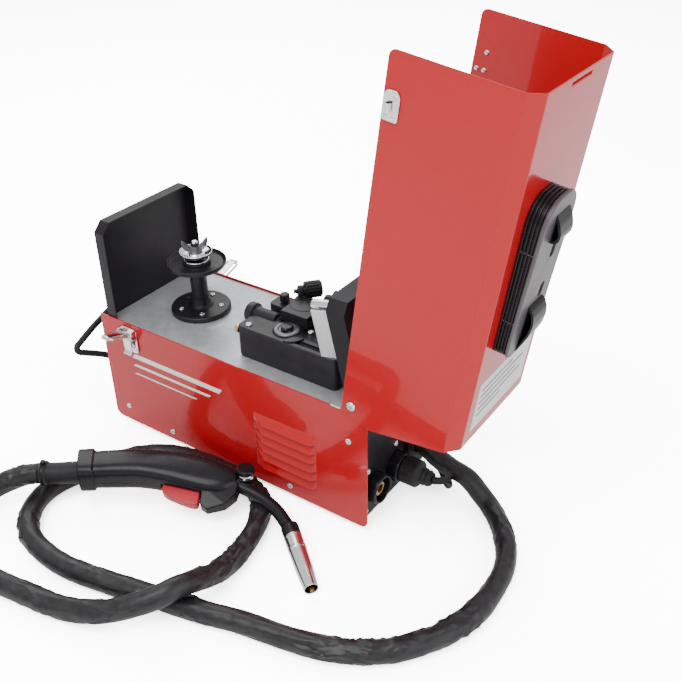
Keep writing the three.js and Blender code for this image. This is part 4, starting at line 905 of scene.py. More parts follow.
def louvre_field():
    """grid of (y, z, outward) points with open lips, and the loop round its border"""
    grid_y = [LOUVRE_Y[0], -115.0]
    grid_y += [-113.2 + 0.45 * i for i in range(16)]
    grid_y += [-105.6 + 3.5 * i for i in range(16)]
    grid_y += [-51.5 + 0.75 * i for i in range(21)]
    grid_y += [-34.0, LOUVRE_Y[1]]
    rows = [(LOUVRE_Z[0], 0.0)]   # z, share of depth
    for i in range(LOUVRE_COUNT):
        lip = LOUVRE_FIRST + LOUVRE_PITCH * i
        rows.append((lip - 0.02, 0.0))
        rows += [(lip + height, share) for share, height in LOUVRE_PROFILE]
    rows.append((LOUVRE_Z[1], 0.0))

    def fade(y):
        """closes the louvre at both ends"""
        return min(1.0, max(0.0, (y + 113.2) / 5.4), max(0.0, (-36.5 - y) / 13.5))

    verts = [Vector((y, z, LOUVRE_DEPTH * min(share, fade(y))))
             for z, share in rows for y in grid_y]
    width = len(grid_y)
    faces = []
    for i in range(len(rows) - 1):
        opening = rows[i][1] == 0.0 and rows[i + 1][1] == 1.0
        for j in range(width - 1):
            p = i * width + j
            if opening and max(verts[p + width].z, verts[p + width + 1].z) > 0.25:
                continue
            faces.append((p, p + 1, p + width + 1, p + width))
    inner_z = [z for z, share in rows[1:-1]]
    border = [(y, LOUVRE_Z[0]) for y in grid_y] + [(LOUVRE_Y[1], z) for z in inner_z]
    border += [(y, LOUVRE_Z[1]) for y in reversed(grid_y)]
    border += [(LOUVRE_Y[0], z) for z in reversed(inner_z)]
    return (verts, faces), border


def side_panel(name, side):
    centre_y = PANEL_END_Y - PANEL_CORNER
    outline = [(PANEL_END_Y, PANEL_TOP), (-PANEL_END_Y, PANEL_TOP)]
    outline += arc(-centre_y, PANEL_CORNER, PANEL_CORNER, 180, 90, 8)
    outline += arc(centre_y, PANEL_CORNER, PANEL_CORNER, -90, 90, 8)
    field, border = louvre_field()
    holes = [border] + [circle(y, z, 1.6, 12) for y, z in PANEL_SCREWS]
    flat = sheet(outline, holes, lambda y, z: Vector((y, z, 0)))
    shell = []
    for verts, faces in (flat, field):
        if side < 0:
            faces = [tuple(reversed(face)) for face in faces]
        shell.append(([Vector((side * (PANEL_X + p.z), p.x, p.y)) for p in verts], faces))
    piece("side_shell_" + name, shell, "red", replaces="side_panel_" + name, smooth=32,
          solid=1.15, bevel=0.25, bevel_angle=70)
    screws("side_screws_" + name, [(side * (PANEL_X + 0.02), y, z) for y, z in PANEL_SCREWS],
           (side, 0, 0), 3.3, 1.7)
    # three plain slanted stripes
    stripes = []
    for k, (start, height) in enumerate(((8, 6.0), (24, 3.2), (44, 1.8))):
        z, end = 92 - k * 10.5, 132
        stripe = [(start, z), (end, z), (end - 4, z + height), (start - 4, z + height)]
        stripes.append(prism(stripe, PANEL_X + 0.02, PANEL_X + 0.14, yz_plate(side),
                             chamfer=0.03))
    piece("side_stripes_" + name, stripes, "white", smooth=30)


for side_name, side_sign in SIDES:
    side_panel(side_name, side_sign)
# small pale mark on the top edge
piece("edge_mark", [box(-70.02, -68.9, -143, -132, 134.6, 135.5, radius=0.2)], "white")

# ============================================================ latches and hinge screws
LATCH_Y = 130                      # middle of the latch
LATCH_PIN = (74.9, 118.6)          # x, z of the lever pin
BAIL_ROOT = (76.5, 126)            # x, z the bail swings about
BAIL_ANGLE = 72 * DEG              # swing away from upright


def latch_plate(name, side):
    face_x = 70.3
    outline = closed_fillet([(119, 101), (141, 101), (141, 131), (119, 131)], 5.0, 7)
    parts = [prism(outline, face_x, face_x + 1.3, yz_plate(side), chamfer=0.4)]
    upper = closed_fillet([(71.0, 120), (77.5, 121.5), (79.0, 126), (77.5, 130), (71.0, 131)],
                          1.5, 5)
    lower = closed_fillet([(71.0, 115), (76.0, 115.6), (77.4, 118.6), (76.0, 121.2),
                           (71.0, 122)], 1.2, 5)
    for ear, spots, gauge in ((upper, (119.6, 139.1), 1.3), (lower, (122.2, 136.6), 1.2)):
        parts += [prism(ear, y, y + gauge, xz_plate(side), chamfer=0.25) for y in spots]
    parts.append(lathe([(0, -8.6), (1, -8.6), (1, 8.6), (0, 8.6)],
                       (side * LATCH_PIN[0], LATCH_Y, LATCH_PIN[1]), BACK,
                       sides=20, rounding=0.2))
    parts += [rivet((side * (face_x + 1.2), y, 105.5), (side, 0, 0), 2.2, 1.1)
              for y in (123.5, 136.5)]
    piece("latch_plate_" + name, parts, "chrome", replaces="latch_base_" + name, smooth=40)


def latch_lever(name, side):
    """a folded strip with a turned lip, rolled round its pin"""
    profile = [(74.9, 121.0), LATCH_PIN, (74.9, 112), (74.9, 106), (75.6, 103.6),
               (77.4, 101.8), (78.6, 101.4)]   # x, z
    blade = strip(curve(profile, 1.2)[0], 0.6, (124.8, 135.2), side)
    barrel = lathe([(1.15, -6.0), (2.1, -6.0), (2.1, 6.0), (1.15, 6.0), (1.15, -6.0)],
                   (side * LATCH_PIN[0], LATCH_Y, LATCH_PIN[1]), BACK, sides=24, rounding=0)
    body = "latch_lever_" + name
    piece("latch_handle_" + name, [blade, barrel], "chrome", body, body, smooth=40, bevel=0.2)


def latch_bail(name, side):
    """bent round wire, swung out, with a strap along its middle"""
    def on_bail(y, reach):
        x = BAIL_ROOT[0] + reach * math.sin(BAIL_ANGLE)
        return Vector((side * x, y, BAIL_ROOT[1] + reach * math.cos(BAIL_ANGLE)))

    half = [(118.6, 0), (121.4, 0), (122.4, 1.2), (122.6, 6), (122.6, 20), (123.0, 24.6),
            (125, 26)]   # y, reach
    loop = half + [(LATCH_Y, 26.2)] + [(2 * LATCH_Y - y, reach) for y, reach in reversed(half)]
    parts = [tube([on_bail(y, reach) for y, reach in loop], 1.35, step=0.8, sides=16)]
    normal = Vector((side * math.cos(BAIL_ANGLE), 0, -math.sin(BAIL_ANGLE)))
    rings = []
    for reach, width in ((3.0, 3.4), (5.0, 4.4), (10, 4.4), (18, 4.4), (25.2, 4.4), (27.2, 4.4)):
        centre = on_bail(LATCH_Y, reach)
        rings.append([centre + Vector((0, y, 0)) + normal * depth
                      for y, depth in rounded_rect(-width, width, -2.0, -0.9, 0.45, 3)])
    parts.append(loft(rings))
    parts.append(lathe([(0, -4.6), (2.5, -4.6), (2.5, 4.6), (0, 4.6)], on_bail(LATCH_Y, 27.0),
                       BACK, sides=28))
    body = "latch_bail_" + name
    piece("latch_wire_" + name, parts, "chrome", body, body, smooth=40)


def hinge_screw(name, side):
    """button head with a raised cross"""
    base_x = 68.5

    def on_head(y, z, x):
        return Vector((side * (base_x + x), HINGE_Y + y, HINGE_Z + z))

    profile = [(0, -7), (2.4, -7), (2.4, 3.4), (4.9, 3.4), (4.9, 4.2), (4.2, 5.4), (2.6, 6.0),
               (0, 6.0)]
    parts = [lathe(profile, (side * base_x, HINGE_Y, HINGE_Z), (side, 0, 0), sides=40,
                   rounding=0.3)]
    for half_y, half_z in ((3.0, 0.45), (0.45, 3.0)):
        parts.append(box(-half_y, half_y, -half_z, half_z, 5.5, 6.15, on_head, radius=0.15))
    piece("hinge_bolt_" + name, parts, "chrome", replaces="hinge_screw_" + name, smooth=40)


for side_name, side_sign in SIDES:
    latch_plate(side_name, side_sign)
    latch_lever(side_name, side_sign)
    latch_bail(side_name, side_sign)
    hinge_screw(side_name, side_sign)


# ============================================================ CAD pieces kept as they are
def dress(node, mat, bevel=0.0, segments=2):
    """gives a CAD piece its material and crisp small bevels"""
    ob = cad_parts[node]
    ob.data.materials.clear()
    ob.data.materials.append(MATERIALS[mat])
    weld = ob.modifiers.new("weld", "WELD")
    weld.merge_threshold = 1e-6
    if bevel:
        add_bevel(ob, bevel, segments, angle=40)
    shade(ob, 28)


dress("base_tray", "black", bevel=0.3)
dress("front_panel", "black", bevel=0.35)
dress("rear_panel", "black", bevel=0.35)
dress("transformer", "copper", bevel=0.5)
dress("heat_sink", "alu", bevel=0.3)
dress("fan_housing", "nylon", bevel=0.3)
dress("fan_rotor", "gloss")
dress("switch_housing", "gloss", bevel=0.4)
dress("power_rocker", "red_plastic", bevel=0.6, segments=3)
dress("board_heat_sink", "alu", bevel=0.25)
dress("control_board", "board", bevel=0.15)
dress("feed_motor", "steel", bevel=0.4)


# ============================================================ deck and feet
def deck():
    top = 132.8
    holes = [circle(DRIVE_X, ROLL_Y, 14), rounded_rect(-14, 12, -160, -138, 5),
             circle(SPOOL_X, SPOOL_Y, 4, 20)]
    outline = [(-68.4, -144), (-66.6, -144), (-66.6, -163.2), (66.6, -163.2), (66.6, -144),
               (68.4, -144), (68.4, 147.8), (66.6, 147.8), (66.6, 160.6), (-66.6, 160.6),
               (-66.6, 147.8), (-68.4, 147.8)]
    piece("deck_sheet", [sheet(outline, holes, lambda x, y: Vector((x, y, top)))], "zinc",
          smooth=30, solid=1.2, bevel=0.2, bevel_angle=60)
    flange = [(-143, 112), (147, 112), (147, 131.4), (-143, 131.4)]   # y, z
    flanges = [prism(flange, 67.2, 68.4, yz_plate(side), chamfer=0.15) for _, side in SIDES]
    piece("deck_sides", flanges, "zinc", replaces="deck_plate", smooth=30)


def rubber_foot(node):
    low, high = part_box(node)
    centre = (low * 1000.0 + high * 1000.0) / 2
    turned("rubber_" + node, "rubber",
           [(0, 0.9), (9.5, 0.9), (8.0, -6), (3.2, -6), (3.2, -2.5), (0, -2.5)],
           (centre.x, centre.y, 0), replaces=node, sides=40, rounding=0.9)


deck()
for foot in ("foot_front_left", "foot_front_right", "foot_rear_left", "foot_rear_right"):
    rubber_foot(foot)

# ============================================================ front panel
SOCKET_Z = 36.0
NEGATIVE_X, POSITIVE_X = -47.0, -8.0
LEAD_PATH = [
    (POSITIVE_X, -210.2, SOCKET_Z), (POSITIVE_X, -211.6, 36), (-4, -216.4, 35), (4, -218, 31.5),
    (11, -218.5, 25), (15.5, -217, 17.5), (20, -213.5, 10.5), (28, -207, 5), (38, -198, 2.5),
    (47, -187, 4), (52, -177, 10), (53, -168, 15.5), (53, -157, 16)]
CONDUIT_PATH = [
    (-15, -124.8, 164), (-15, -131, 163.5), (-13, -141, 156), (-6, -148, 142),
    (-1, -149.5, 128), (8, -149, 100), (20, -148, 72), (28, -150, 54), (29, -157, 45)]


def socket(pole, x):
    """collar with a brass contact and twelve raised ribs"""
    name = "socket_body_" + pole
    at = (x, FRONT_Y, SOCKET_Z)
    turned(name, "gloss",
           [(0, -18), (11.8, -18), (11.8, 0.3), (15.5, 0.3), (15.5, 10.4), (14.9, 12),
            (12.9, 12), (12.6, 11.4), (12.6, 2), (7.6, 2), (7.6, 8), (4.75, 8), (4.75, -10),
            (0, -10)],
           at, FRONT, replaces="socket_" + pole, smooth=32, sides=72, rounding=0.35)
    turned(name + "_contact", "brass",
           [(4.72, -9.6), (4.72, 8.4), (7.2, 8.4), (7.4, 8.05), (7.4, 7.0), (4.74, 6.8)],
           at, FRONT, sides=48, rounding=0.15)
    ribs = [tube([(rib_x, y, rib_z) for y in (-166.2, -170, -174.2)], 0.55, step=1.5, sides=8)
            for rib_x, rib_z in circle(x, SOCKET_Z, 15.5, 12)]
    piece(name + "_ribs", ribs, "gloss", smooth=40)


def polarity_plug():
    """fluted plug in the positive socket"""
    profile = [(0, -8), (4.25, -8), (4.25, 8.4), (12.1, 8.4), (12.1, 12.6), (14.2, 13.4)]
    profile += [(14.2, z) for z in (16, 18, 20, 22, 24, 26, 29)]
    profile += [(12.8, 31), (9.4, 33), (8.8, 35.2), (9.4, 36.2), (8.4, 37.6), (8.0, 39.6),
                (8.8, 40.6), (7.8, 42), (7, 44.4), (0, 44.4)]
    turned("plug_body", "rubber", profile, (POSITIVE_X, FRONT_Y, SOCKET_Z), FRONT,
           "polarity_plug", "polarity_plug", sides=80, rounding=0.4,
           wobble=flutes(10, 0.7, beyond=13.4, heights=(14.5, 29), power=2))


def polarity_lead():
    """two cores, one weaving a little beside the other"""
    upper = [(x - 0.4, y - 0.5, z + 2.5) for x, y, z in LEAD_PATH]
    lower = [(x + 0.2, y + 1.2 * math.sin(i * 1.1), z - 2.4)
             for i, (x, y, z) in enumerate(LEAD_PATH)]
    piece("polarity_cable", [tube(core, 2.3, step=1.6, sides=22) for core in (upper, lower)],
          "rubber", replaces="polarity_lead", smooth=50)


def front_glands():
    turned("pigtail_gland", "rubber",
           [(4.7, 0.2), (8.6, 0.2), (8.6, 1.6), (7.4, 3.0), (6.0, 6.2), (4.7, 6.4)],
           (53, FRONT_Y, 16), FRONT, sides=48)
    turned("gland_body", "rubber",
           [(12.9, -4.2), (12.9, 0.3), (17.5, 0.3), (17.5, 4.6), (16.2, 6.4), (15.2, 8.6),
            (12.9, 8.6), (12.9, 2.0), (4.5, 2.0), (4.2, 0), (4.2, -4.2)],
           (29, FRONT_Y, 45), FRONT, replaces="hose_gland")


def liner_conduit():
    """ringed conduit from the feeder to the hose gland"""
    def rings(along, *_):
        return 0.35 * math.sin(along * 2 * math.pi / 3.2)
    piece("liner_conduit", [tube(CONDUIT_PATH, 4.2, step=0.8, shape=rings)], "rubber",
          replaces="wire_conduit")


screws("front_screws", [(x, FRONT_Y - 0.05, z) for x, z in (
    (-6, 61.4), (-57, 60.5), (61, 20), (-61, 12), (60, 120), (-60, 120), (44, 64), (14, 64))],
    FRONT, 3.4, 1.9)
socket("negative", NEGATIVE_X)
socket("positive", POSITIVE_X)
polarity_plug()
polarity_lead()
front_glands()
liner_conduit()

# ============================================================ spool holder
SPOOL = (SPOOL_X, SPOOL_Y, 0)


def on_spool(radius, angle, z):
    return Vector((SPOOL_X + radius * math.cos(angle), SPOOL_Y + radius * math.sin(angle), z))


def spool_post():
    turned("spool_column", "nylon",
           [(0, 133.05), (32.5, 133.05), (32.5, 137.2), (31.4, 138.6), (14, 138.6),
            (10.4, 141), (8.8, 147), (8.3, 160), (8.3, 184), (4, 184.2), (4, 212.5),
            (3.3, 213.3), (0, 213.3)],
           SPOOL, replaces="spool_post", smooth=40, sides=88, rounding=0.9)
    # five fixings on the flange; the second is a plain disc
    fixings = []
    for k in range(5):
        at = on_spool(22.5, (8 + 72 * k) * DEG, 138.62)
        if k == 1:
            fixings.append(lathe([(0, 0.0), (2.2, 0.0), (2.2, 0.12), (0, 0.12)], at,
                                 sides=24, rounding=0))
        else:
            fixings.append(screw(at, UP, 2.9, 1.5))
    piece("flange_screws", fixings, "chrome", smooth=50)
    ribs = []
    for k in range(4):
        angle = (45 + 90 * k) * DEG
        ribs.append(tube([on_spool(8.2, angle, z) for z in (141, 160, 183)], 0.7, step=6,
                         sides=8))
    piece("column_ribs", ribs, "nylon", smooth=40)


def spool_brake():
    turned("spool_dish", "nylon",
           [(4.35, 184.6), (12, 184.6), (25, 186.2), (30.6, 187.6), (32.0, 191.6),
            (31.6, 192.7), (30.6, 192.6), (29.6, 190.6), (28.2, 189.2), (15, 188.6),
            (14.6, 192.6), (4.35, 192.6), (4.35, 184.6)],
           SPOOL, body="spool_disc", replaces="spool_disc", sides=96)
    # one flat turn of wire
    coil = [on_spool(13.0, 2 * math.pi * k / 48, 194.1) for k in range(49)]
    piece("brake_coil", [tube(coil, 0.9, step=1.0, sides=14)], "chrome",
          replaces="brake_spring")
    turned("cup_ring", "chrome",
           [(4.3, 195.4), (9, 195.4), (10, 198.6), (16.4, 200.4), (17.7, 203.4), (17.0, 204.2),
            (15.4, 202.2), (9, 200.2), (7.6, 202.4), (4.3, 202.4), (4.3, 195.4)],
           SPOOL, replaces="cup_washer", sides=80, rounding=0.6)


def signed_power(value, exponent):
    return math.copysign(abs(value) ** exponent, value)


def wing_nut():
    turn = -34 * DEG
    parts = [lathe([(4.25, 202.9), (7.2, 202.9), (6.9, 206), (6.2, 210.4), (4.25, 210.4),
                    (4.25, 202.9)], SPOOL, sides=56, rounding=0.3)]
    for side in (-1, 1):
        rings = []
        for i in range(9):
            share = i / 8
            reach = 5.0 + 9.0 * share
            lift = 206.6 + 8.0 * share ** 1.6
            half_height = 3.2 + 1.2 * math.sin(share * math.pi) + 0.8 * share
            half_width = 1.9 - 0.5 * share
            if i == 8:   # closes the tip
                half_height *= 0.55
                half_width *= 0.5
                reach += 0.2
            ring = []
            for k in range(20):
                angle = 2 * math.pi * k / 20
                y = half_width * signed_power(math.cos(angle), 0.8)
                z = half_height * signed_power(math.sin(angle), 0.9)
                ring.append(Vector((
                    SPOOL_X + side * (reach * math.cos(turn) - y * math.sin(turn)),
                    SPOOL_Y + side * (reach * math.sin(turn) + y * math.cos(turn)),
                    lift + z)))
            rings.append(ring)
        parts.append(loft(rings))
    piece("wing_nut_body", parts, "cast", "wing_nut", "wing_nut", smooth=50)


spool_post()
spool_brake()
wing_nut()
turned("post_stud", "chrome", [(0, 212.8), (3.3, 212.8), (3.3, 214.4), (2.4, 215.4), (0, 215.4)],
       SPOOL, sides=32, rounding=0.3)

# ============================================================ wire feeder
PIVOT_X, PIVOT_Y = 2, -96          # pivot of the pressure arm
DRIVE_ROLL = (DRIVE_X, ROLL_Y, 0)
HOUSING_TOP = 167.62


def feeder_housing():
    housing = bare("feeder_housing",
                   [prism(rounded_rect(-48.5, 22, -124, -3.5, 7, 8), 133.05, 154, chamfer=0.8)],
                   "nylon")
    boolean(housing, "UNION", [
        prism(rounded_rect(-48.5, -8.5, -124, -3.5, 6, 8), 134, 167.6, chamfer=1.6),
        prism(rounded_rect(3, 22, -26, -3.6, 5), 135, 168, chamfer=1.0),
    ])
    boolean(housing, "DIFFERENCE", [
        rod((DRIVE_X, ROLL_Y, 150), (DRIVE_X, ROLL_Y, 180), 14.3, 72),
        rod((IDLER_X, ROLL_Y, 154), (IDLER_X, ROLL_Y, 180), 13.9, 72),
        rod((DRIVE_X, ROLL_Y, 125), (DRIVE_X, ROLL_Y, 152), 6, 32),
        # wire bore, then a wider seat for the inlet guide, open at the top
        rod((WIRE_X, -130, WIRE_Z), (WIRE_X, 5, WIRE_Z), 2.2, 20),
        rod((WIRE_X, -30, WIRE_Z), (WIRE_X, 5, WIRE_Z), 8.2, 40),
        box(WIRE_X - 8.2, WIRE_X + 8.2, -30, 5, WIRE_Z, 180, radius=0.1),
        box(WIRE_X - 2.2, WIRE_X + 12, -68, -36, 156, 180, radius=0.4),
        box(-43.5, -37.0, -106, -64, 164.6, 180, radius=1.2),
    ])
    finish(housing, "nylon", replaces="feeder_body", smooth=30, bevel=0.45, bevel_angle=30)


def feeder_fixings():
    turned("arm_pivot", "steel",
           [(0, 150), (3.0, 150), (3.0, 177), (5.2, 177), (5.2, 178.4), (4.2, 179.2),
            (0, 179.2)],
           (PIVOT_X, PIVOT_Y, 0), sides=40, rounding=0.4)
    turned("thumb_screw", "nylon",
           [(0, 166.5), (3, 166.5), (3, 169.5), (5.2, 170), (5.2, 171.5), (5.2, 173),
            (5.2, 175), (5.2, 177), (4.4, 178), (0, 178)],
           (14, -17, 0), sides=60, rounding=0.3,
           wobble=flutes(14, 0.45, beyond=5, heights=(170.5, 177.4)))
    piece("feeder_screws", [
        screw((-41.0, -14.0, HOUSING_TOP), UP, 3.4, 1.8),
        screw((-40.5, -114.0, HOUSING_TOP), UP, 3.4, 1.8),
        screw((-45.2, -8.0, 161.5), (-1, 0, 0), 0.01, 0.01),   # a mere speck
        screw((-14.5, -114.0, HOUSING_TOP), UP, 3.0, 1.6),
        screw((-19.2, -74.0, HOUSING_TOP), UP, 3.2, 1.7),
    ], "chrome", smooth=50)
    turned("brass_inlet", "brass",
           [(2.0, 0), (4.2, 0), (4.2, 3.6), (3.2, 4.4), (2.0, 4.4), (2.0, 0)],
           (-43.5, -4.0, 161), BACK, smooth=40, sides=32, rounding=0.3)
    clip = closed_fillet([(-47, -60), (-41, -62), (-33, -66), (-30, -72), (-33, -77),
                          (-42, -73), (-47.4, -66)], 2.0, 4)
    piece("roll_clip", [prism(clip, 167.65, 168.9, chamfer=0.4)], "gloss", smooth=40)
    turned("inlet_bush", "nylon",
           [(1.6, 0), (7.9, 0), (7.9, 25.4), (9.2, 26.4), (10.8, 27.4), (10.8, 34.6),
            (9.6, 35.9), (3.4, 35.9), (1.8, 33.5), (1.6, 0)],
           (WIRE_X, -29.6, WIRE_Z), BACK, replaces="inlet_guide", smooth=40)


def rolls():
    def knurl(angle, radius, height):
        return 0.22 * math.cos(36 * angle) if radius > 12.5 and height > 165 else 0.0

    turned("drive_wheel", "cast",
           [(0, 150.4), (6, 150.4), (6, 157), (13.4, 157), (13.4, 162.6), (12.4, 164),
            (13.4, 165.4), (13.4, 169), (12.2, 170), (9.0, 170), (8.4, 169.2), (6.0, 169.2),
            (5.6, 170), (5.0, 171.4), (0, 171.4)],
           DRIVE_ROLL, body="drive_roll", replaces="drive_roll", sides=144, rounding=0.35,
           wobble=knurl)
    turned("drive_cap", "gloss",
           [(0, 169.4), (6.6, 169.4), (6.6, 171.8), (5.4, 173.0), (0, 173.0)],
           DRIVE_ROLL, body="drive_roll", sides=48, wobble=flutes(3, 0.8, beyond=6))
    turned("pressure_wheel", "steel",
           [(3.3, 157.4), (8, 157.4), (8, 158.6), (12.6, 158.6), (12.6, 169.4), (8, 169.4),
            (8, 171.2), (3.3, 171.2), (3.3, 157.4)],
           (IDLER_X, ROLL_Y, 0), body="pressure_roll", replaces="pressure_roll", sides=88,
           rounding=0.4)


def pressure_arm():
    """arm over the idler, ending in an ear that holds the tension screw"""
    outline = [(12, -101), (18, -84), (19, -62), (24, -44), (26, -33), (21, -28.6), (8, -30),
               (-6, -37), (-13, -46), (-13.5, -56), (-9, -66), (-6, -82), (-6, -99), (2, -104)]
    ear = closed_fillet([(-6.6, 174), (4.4, 174), (4.6, 186), (2.4, 191), (-3.4, 191),
                         (-6.4, 186)], 2.2, 5)   # across the tension screw, z

    def on_ear(across, z, along):
        return Vector((17.4 + 0.751 * along + 0.66 * across,
                       -34.4 - 0.66 * along + 0.751 * across, z))

    arm = bare("swing_arm", [prism(closed_fillet(outline, 7.0, 8), 171.9, 177.4, chamfer=1.6,
                                   steps=5)], "nylon")
    boolean(arm, "UNION", [
        rod((PIVOT_X, PIVOT_Y, 154.4), (PIVOT_X, PIVOT_Y, 176.8), 7.2, 56),
        rod((IDLER_X, ROLL_Y, 157), (IDLER_X, ROLL_Y, 172.4), 3, 32),
        prism(ear, -2.5, 2.5, on_ear, chamfer=0.6),
        prism(circle(4.5, -49.5, 15.5, 48), 174, 180.6, chamfer=2.4, steps=6),
        prism([(-3.0, -95), (1.0, -95), (6.0, -64), (2.0, -64)], 175, 178.6, chamfer=0.6),
        prism([(9.6, -95), (13.0, -92), (15.0, -64), (11.0, -64)], 175, 178.6, chamfer=0.6),
    ])
    boolean(arm, "DIFFERENCE", [
        rod((PIVOT_X, PIVOT_Y, 140), (PIVOT_X, PIVOT_Y, 190), 3.3, 32),
        rod(on_ear(0, 185, -12), on_ear(0, 185, 12), 2.7, 28),
    ])
    finish(arm, "nylon", "pressure_arm", "pressure_arm", smooth=30, bevel=0.3, bevel_angle=30)

    profile = [(0, -6.5), (2.3, -6.5), (2.3, 3), (5.6, 3), (5.6, 4.2), (9.0, 4.8)]
    profile += [(9.0, height) for height in (7, 9, 11, 14, 17, 19, 21)]
    profile += [(7.6, 22.5), (0, 22.5)]
    turned("tension_screw", "gloss", profile, (17.4, -34.4, 185), (0.751, -0.66, 0),
           "tension_knob", "tension_knob", sides=96, rounding=0.35,
           wobble=flutes(16, 0.55, beyond=8.7, heights=(6, 20.5)))


feeder_housing()
feeder_fixings()
rolls()
pressure_arm()

# ============================================================ control board
BOARD_LEAN = math.atan2(19.5, 83.0)
BOARD_NORMAL = Vector((0, -math.cos(BOARD_LEAN), math.sin(BOARD_LEAN)))   # forward, out


def on_board(x, rise, depth):
    """a point rise up the leaning panel and depth behind its face"""
    return Vector((
        x, FRONT_Y + rise * math.sin(BOARD_LEAN) + depth * math.cos(BOARD_LEAN),
        160 + rise * math.cos(BOARD_LEAN) - depth * math.sin(BOARD_LEAN)))


def capacitors():
    turned("can_capacitor", "chrome",
           [(0, 0), (5, 0), (5, 1.6), (4.6, 2.2), (5, 2.8), (5, 21.8), (4.4, 22.5), (0, 22.5)],
           on_board(-56, 79.6, 19), -BOARD_NORMAL, replaces="board_capacitor", sides=48,
           rounding=0.3)
    profile = [(0, 0), (5.2, 0), (5.2, 1.4), (4.8, 2.0), (5.2, 2.6), (5.2, 17.6), (4.6, 18.2),
               (0, 18.2)]
    cans = [lathe(profile, on_board(x, rise, 18.8), -BOARD_NORMAL, sides=40, rounding=0.3)
            for x, rise in ((-43, 78), (-30, 76), (-43, 62))]
    piece("black_capacitors", cans, "gloss", smooth=40)


def dial(name, x, node):
    """fluted knob with a white pointer"""
    centre = on_board(x, 23.6, 0)
    turned(name, "gloss",
           [(0, 8.6), (3.3, 8.6), (3.3, 0.4), (9, 0.4), (9.6, 1.4), (9.4, 3), (9.1, 5),
            (8.8, 8), (8.3, 11), (8.1, 13), (7.0, 14), (0, 14)],
           centre, BOARD_NORMAL, node, node, sides=96, rounding=0.35,
           wobble=flutes(18, 0.5, beyond=7.9, heights=(2, 12.6)))
    across, upward, outward = basis(BOARD_NORMAL)

    def on_dial(x, y, z):
        return centre + across * x + upward * y + outward * z

    pointer = box(-0.5, 0.5, 2.0, 7.0, 13.9, 14.3, on_dial, radius=0.2)
    piece(name + "_pointer", [pointer], "white", node)


def display_window():
    window = prism(rounded_rect(-21.7, 21.7, 46.6, 66.8, 1.5, 4), 0.2, 1.6,
                   lambda x, rise, out: on_board(x, rise, 1.8 - out), chamfer=0.3)
    piece("display_window", [window], "gloss")


capacitors()
dial("voltage_dial", -28, "voltage_knob")
dial("wire_speed_dial", 28, "wire_speed_knob")
display_window()

# ============================================================ torch hose
HOSE_PATH = [
    (29, -167.6, 45), (29, -171.5, 45), (29.1, -176.8, 44.4), (29.2, -184, 39),
    (29.5, -198, 30.5), (30, -213, 25), (30, -229, 20.5), (27, -244, 12.5), (21.8, -259.3, 6),
    (8, -276, 5.3), (-9.3, -291.1, 5.3), (-34.4, -305.4, 5.3), (-63.5, -312.5, 5.3),
    (-107.2, -312.1, 5.3), (-139.9, -302.3, 5.3), (-177.1, -278.5, 5.3), (-202, -247.9, 5.3),
    (-217, -210.9, 5.3), (-227, -162.1, 5.3), (-241, -108, 5.3), (-251, -64, 5.3),
    (-260.5, -26, 5.3), (-269.9, 25.4, 5.3), (-269, 65.6, 5.3), (-260.8, 94.2, 5.3),
    (-245, 114.5, 5.3), (-222, 127.5, 5.3), (-197.6, 129.6, 5.3), (-168, 121, 5.3),
    (-138, 104, 5.3), (-110, 85, 5.3), (-95, 62, 5.3), (-86, 20, 5.3), (-86, -22.9, 5.3),
    (-92.5, -50, 5.3), (-104.5, -68, 5.3), (-127.6, -81.5, 5.3), (-166.3, -91.5, 5.3),
    (-196, -94, 9), (-222, -93.5, 20), (-246, -90, 29), (-264, -82, 28), (-283, -61, 20),
    (-296, -36, 11), (-306, -6, 6), (-312.5, 28.7, 5.3), (-318, 68, 5.3), (-322, 112, 5.3),
    (-311, 156, 5.3), (-286, 177, 6), (-259, 173, 12), (-238, 158, 22), (-222, 142, 29.5),
    (-213.2, 130.6, 31)]


def sheath_wrinkles(along, angle, spot, length, outward):
    """swells and sharp folds that twist slowly along the hose, fading at its ends"""
    twist = angle + along * 0.010

    def sample(turn, radius, z):
        return noise.noise(Vector((math.cos(turn) * radius, math.sin(turn) * radius, z)))

    start = Vector((math.cos(twist) * 1.15, math.sin(twist) * 1.15, along * 0.030))
    warp = noise.noise(start * 0.8 + Vector((5.2, 1.3, 0)))
    swell = sample(twist + warp, 1.0, along * 0.020 + 9.1)
    crest = 1.0 - abs(sample(twist + 1.6 * warp, 1.9, along * 0.045) * 2.4)
    fold = max(0.0, crest) ** 2.0
    calm = noise.noise(Vector((4.7, math.cos(twist) * 0.5, along * 0.016)))
    fold_gate = min(1.0, max(0.12, 0.45 + 1.9 * calm))
    fine = noise.noise(Vector((spot.x * 0.16, spot.y * 0.16, spot.z * 0.16 + 3.3)))
    # lengthwise overlap of the sheath's closure
    seam = (twist * 0.5 / math.pi + 0.15) % 1.0
    lap = 0.55 * max(0.0, 1 - seam / 0.18) if seam < 0.18 else 0.0
    swelling = 1.0 * swell + 2.0 * fold_gate * fold - 0.55 + 0.25 * fine + lap
    if outward.z < -0.3:   # keeps the underside off the floor
        swelling = min(swelling, 0.15)
    return swelling * min(1.0, along / 14.0, (length - along) / 10.0)


piece("hose_jacket", [tube(HOSE_PATH, 10.7, step=1.9, sides=44, shape=sheath_wrinkles)],
      "sheath", replaces="torch_hose", smooth=70)

# ============================================================ torch
TORCH_SIDE = Vector((-0.86, -0.51, 0)).normalized()    # level, across the torch
TORCH_AHEAD = Vector((0.51, -0.86, 0)).normalized()    # level, towards the nozzle
WORLD_UP = Vector(UP)

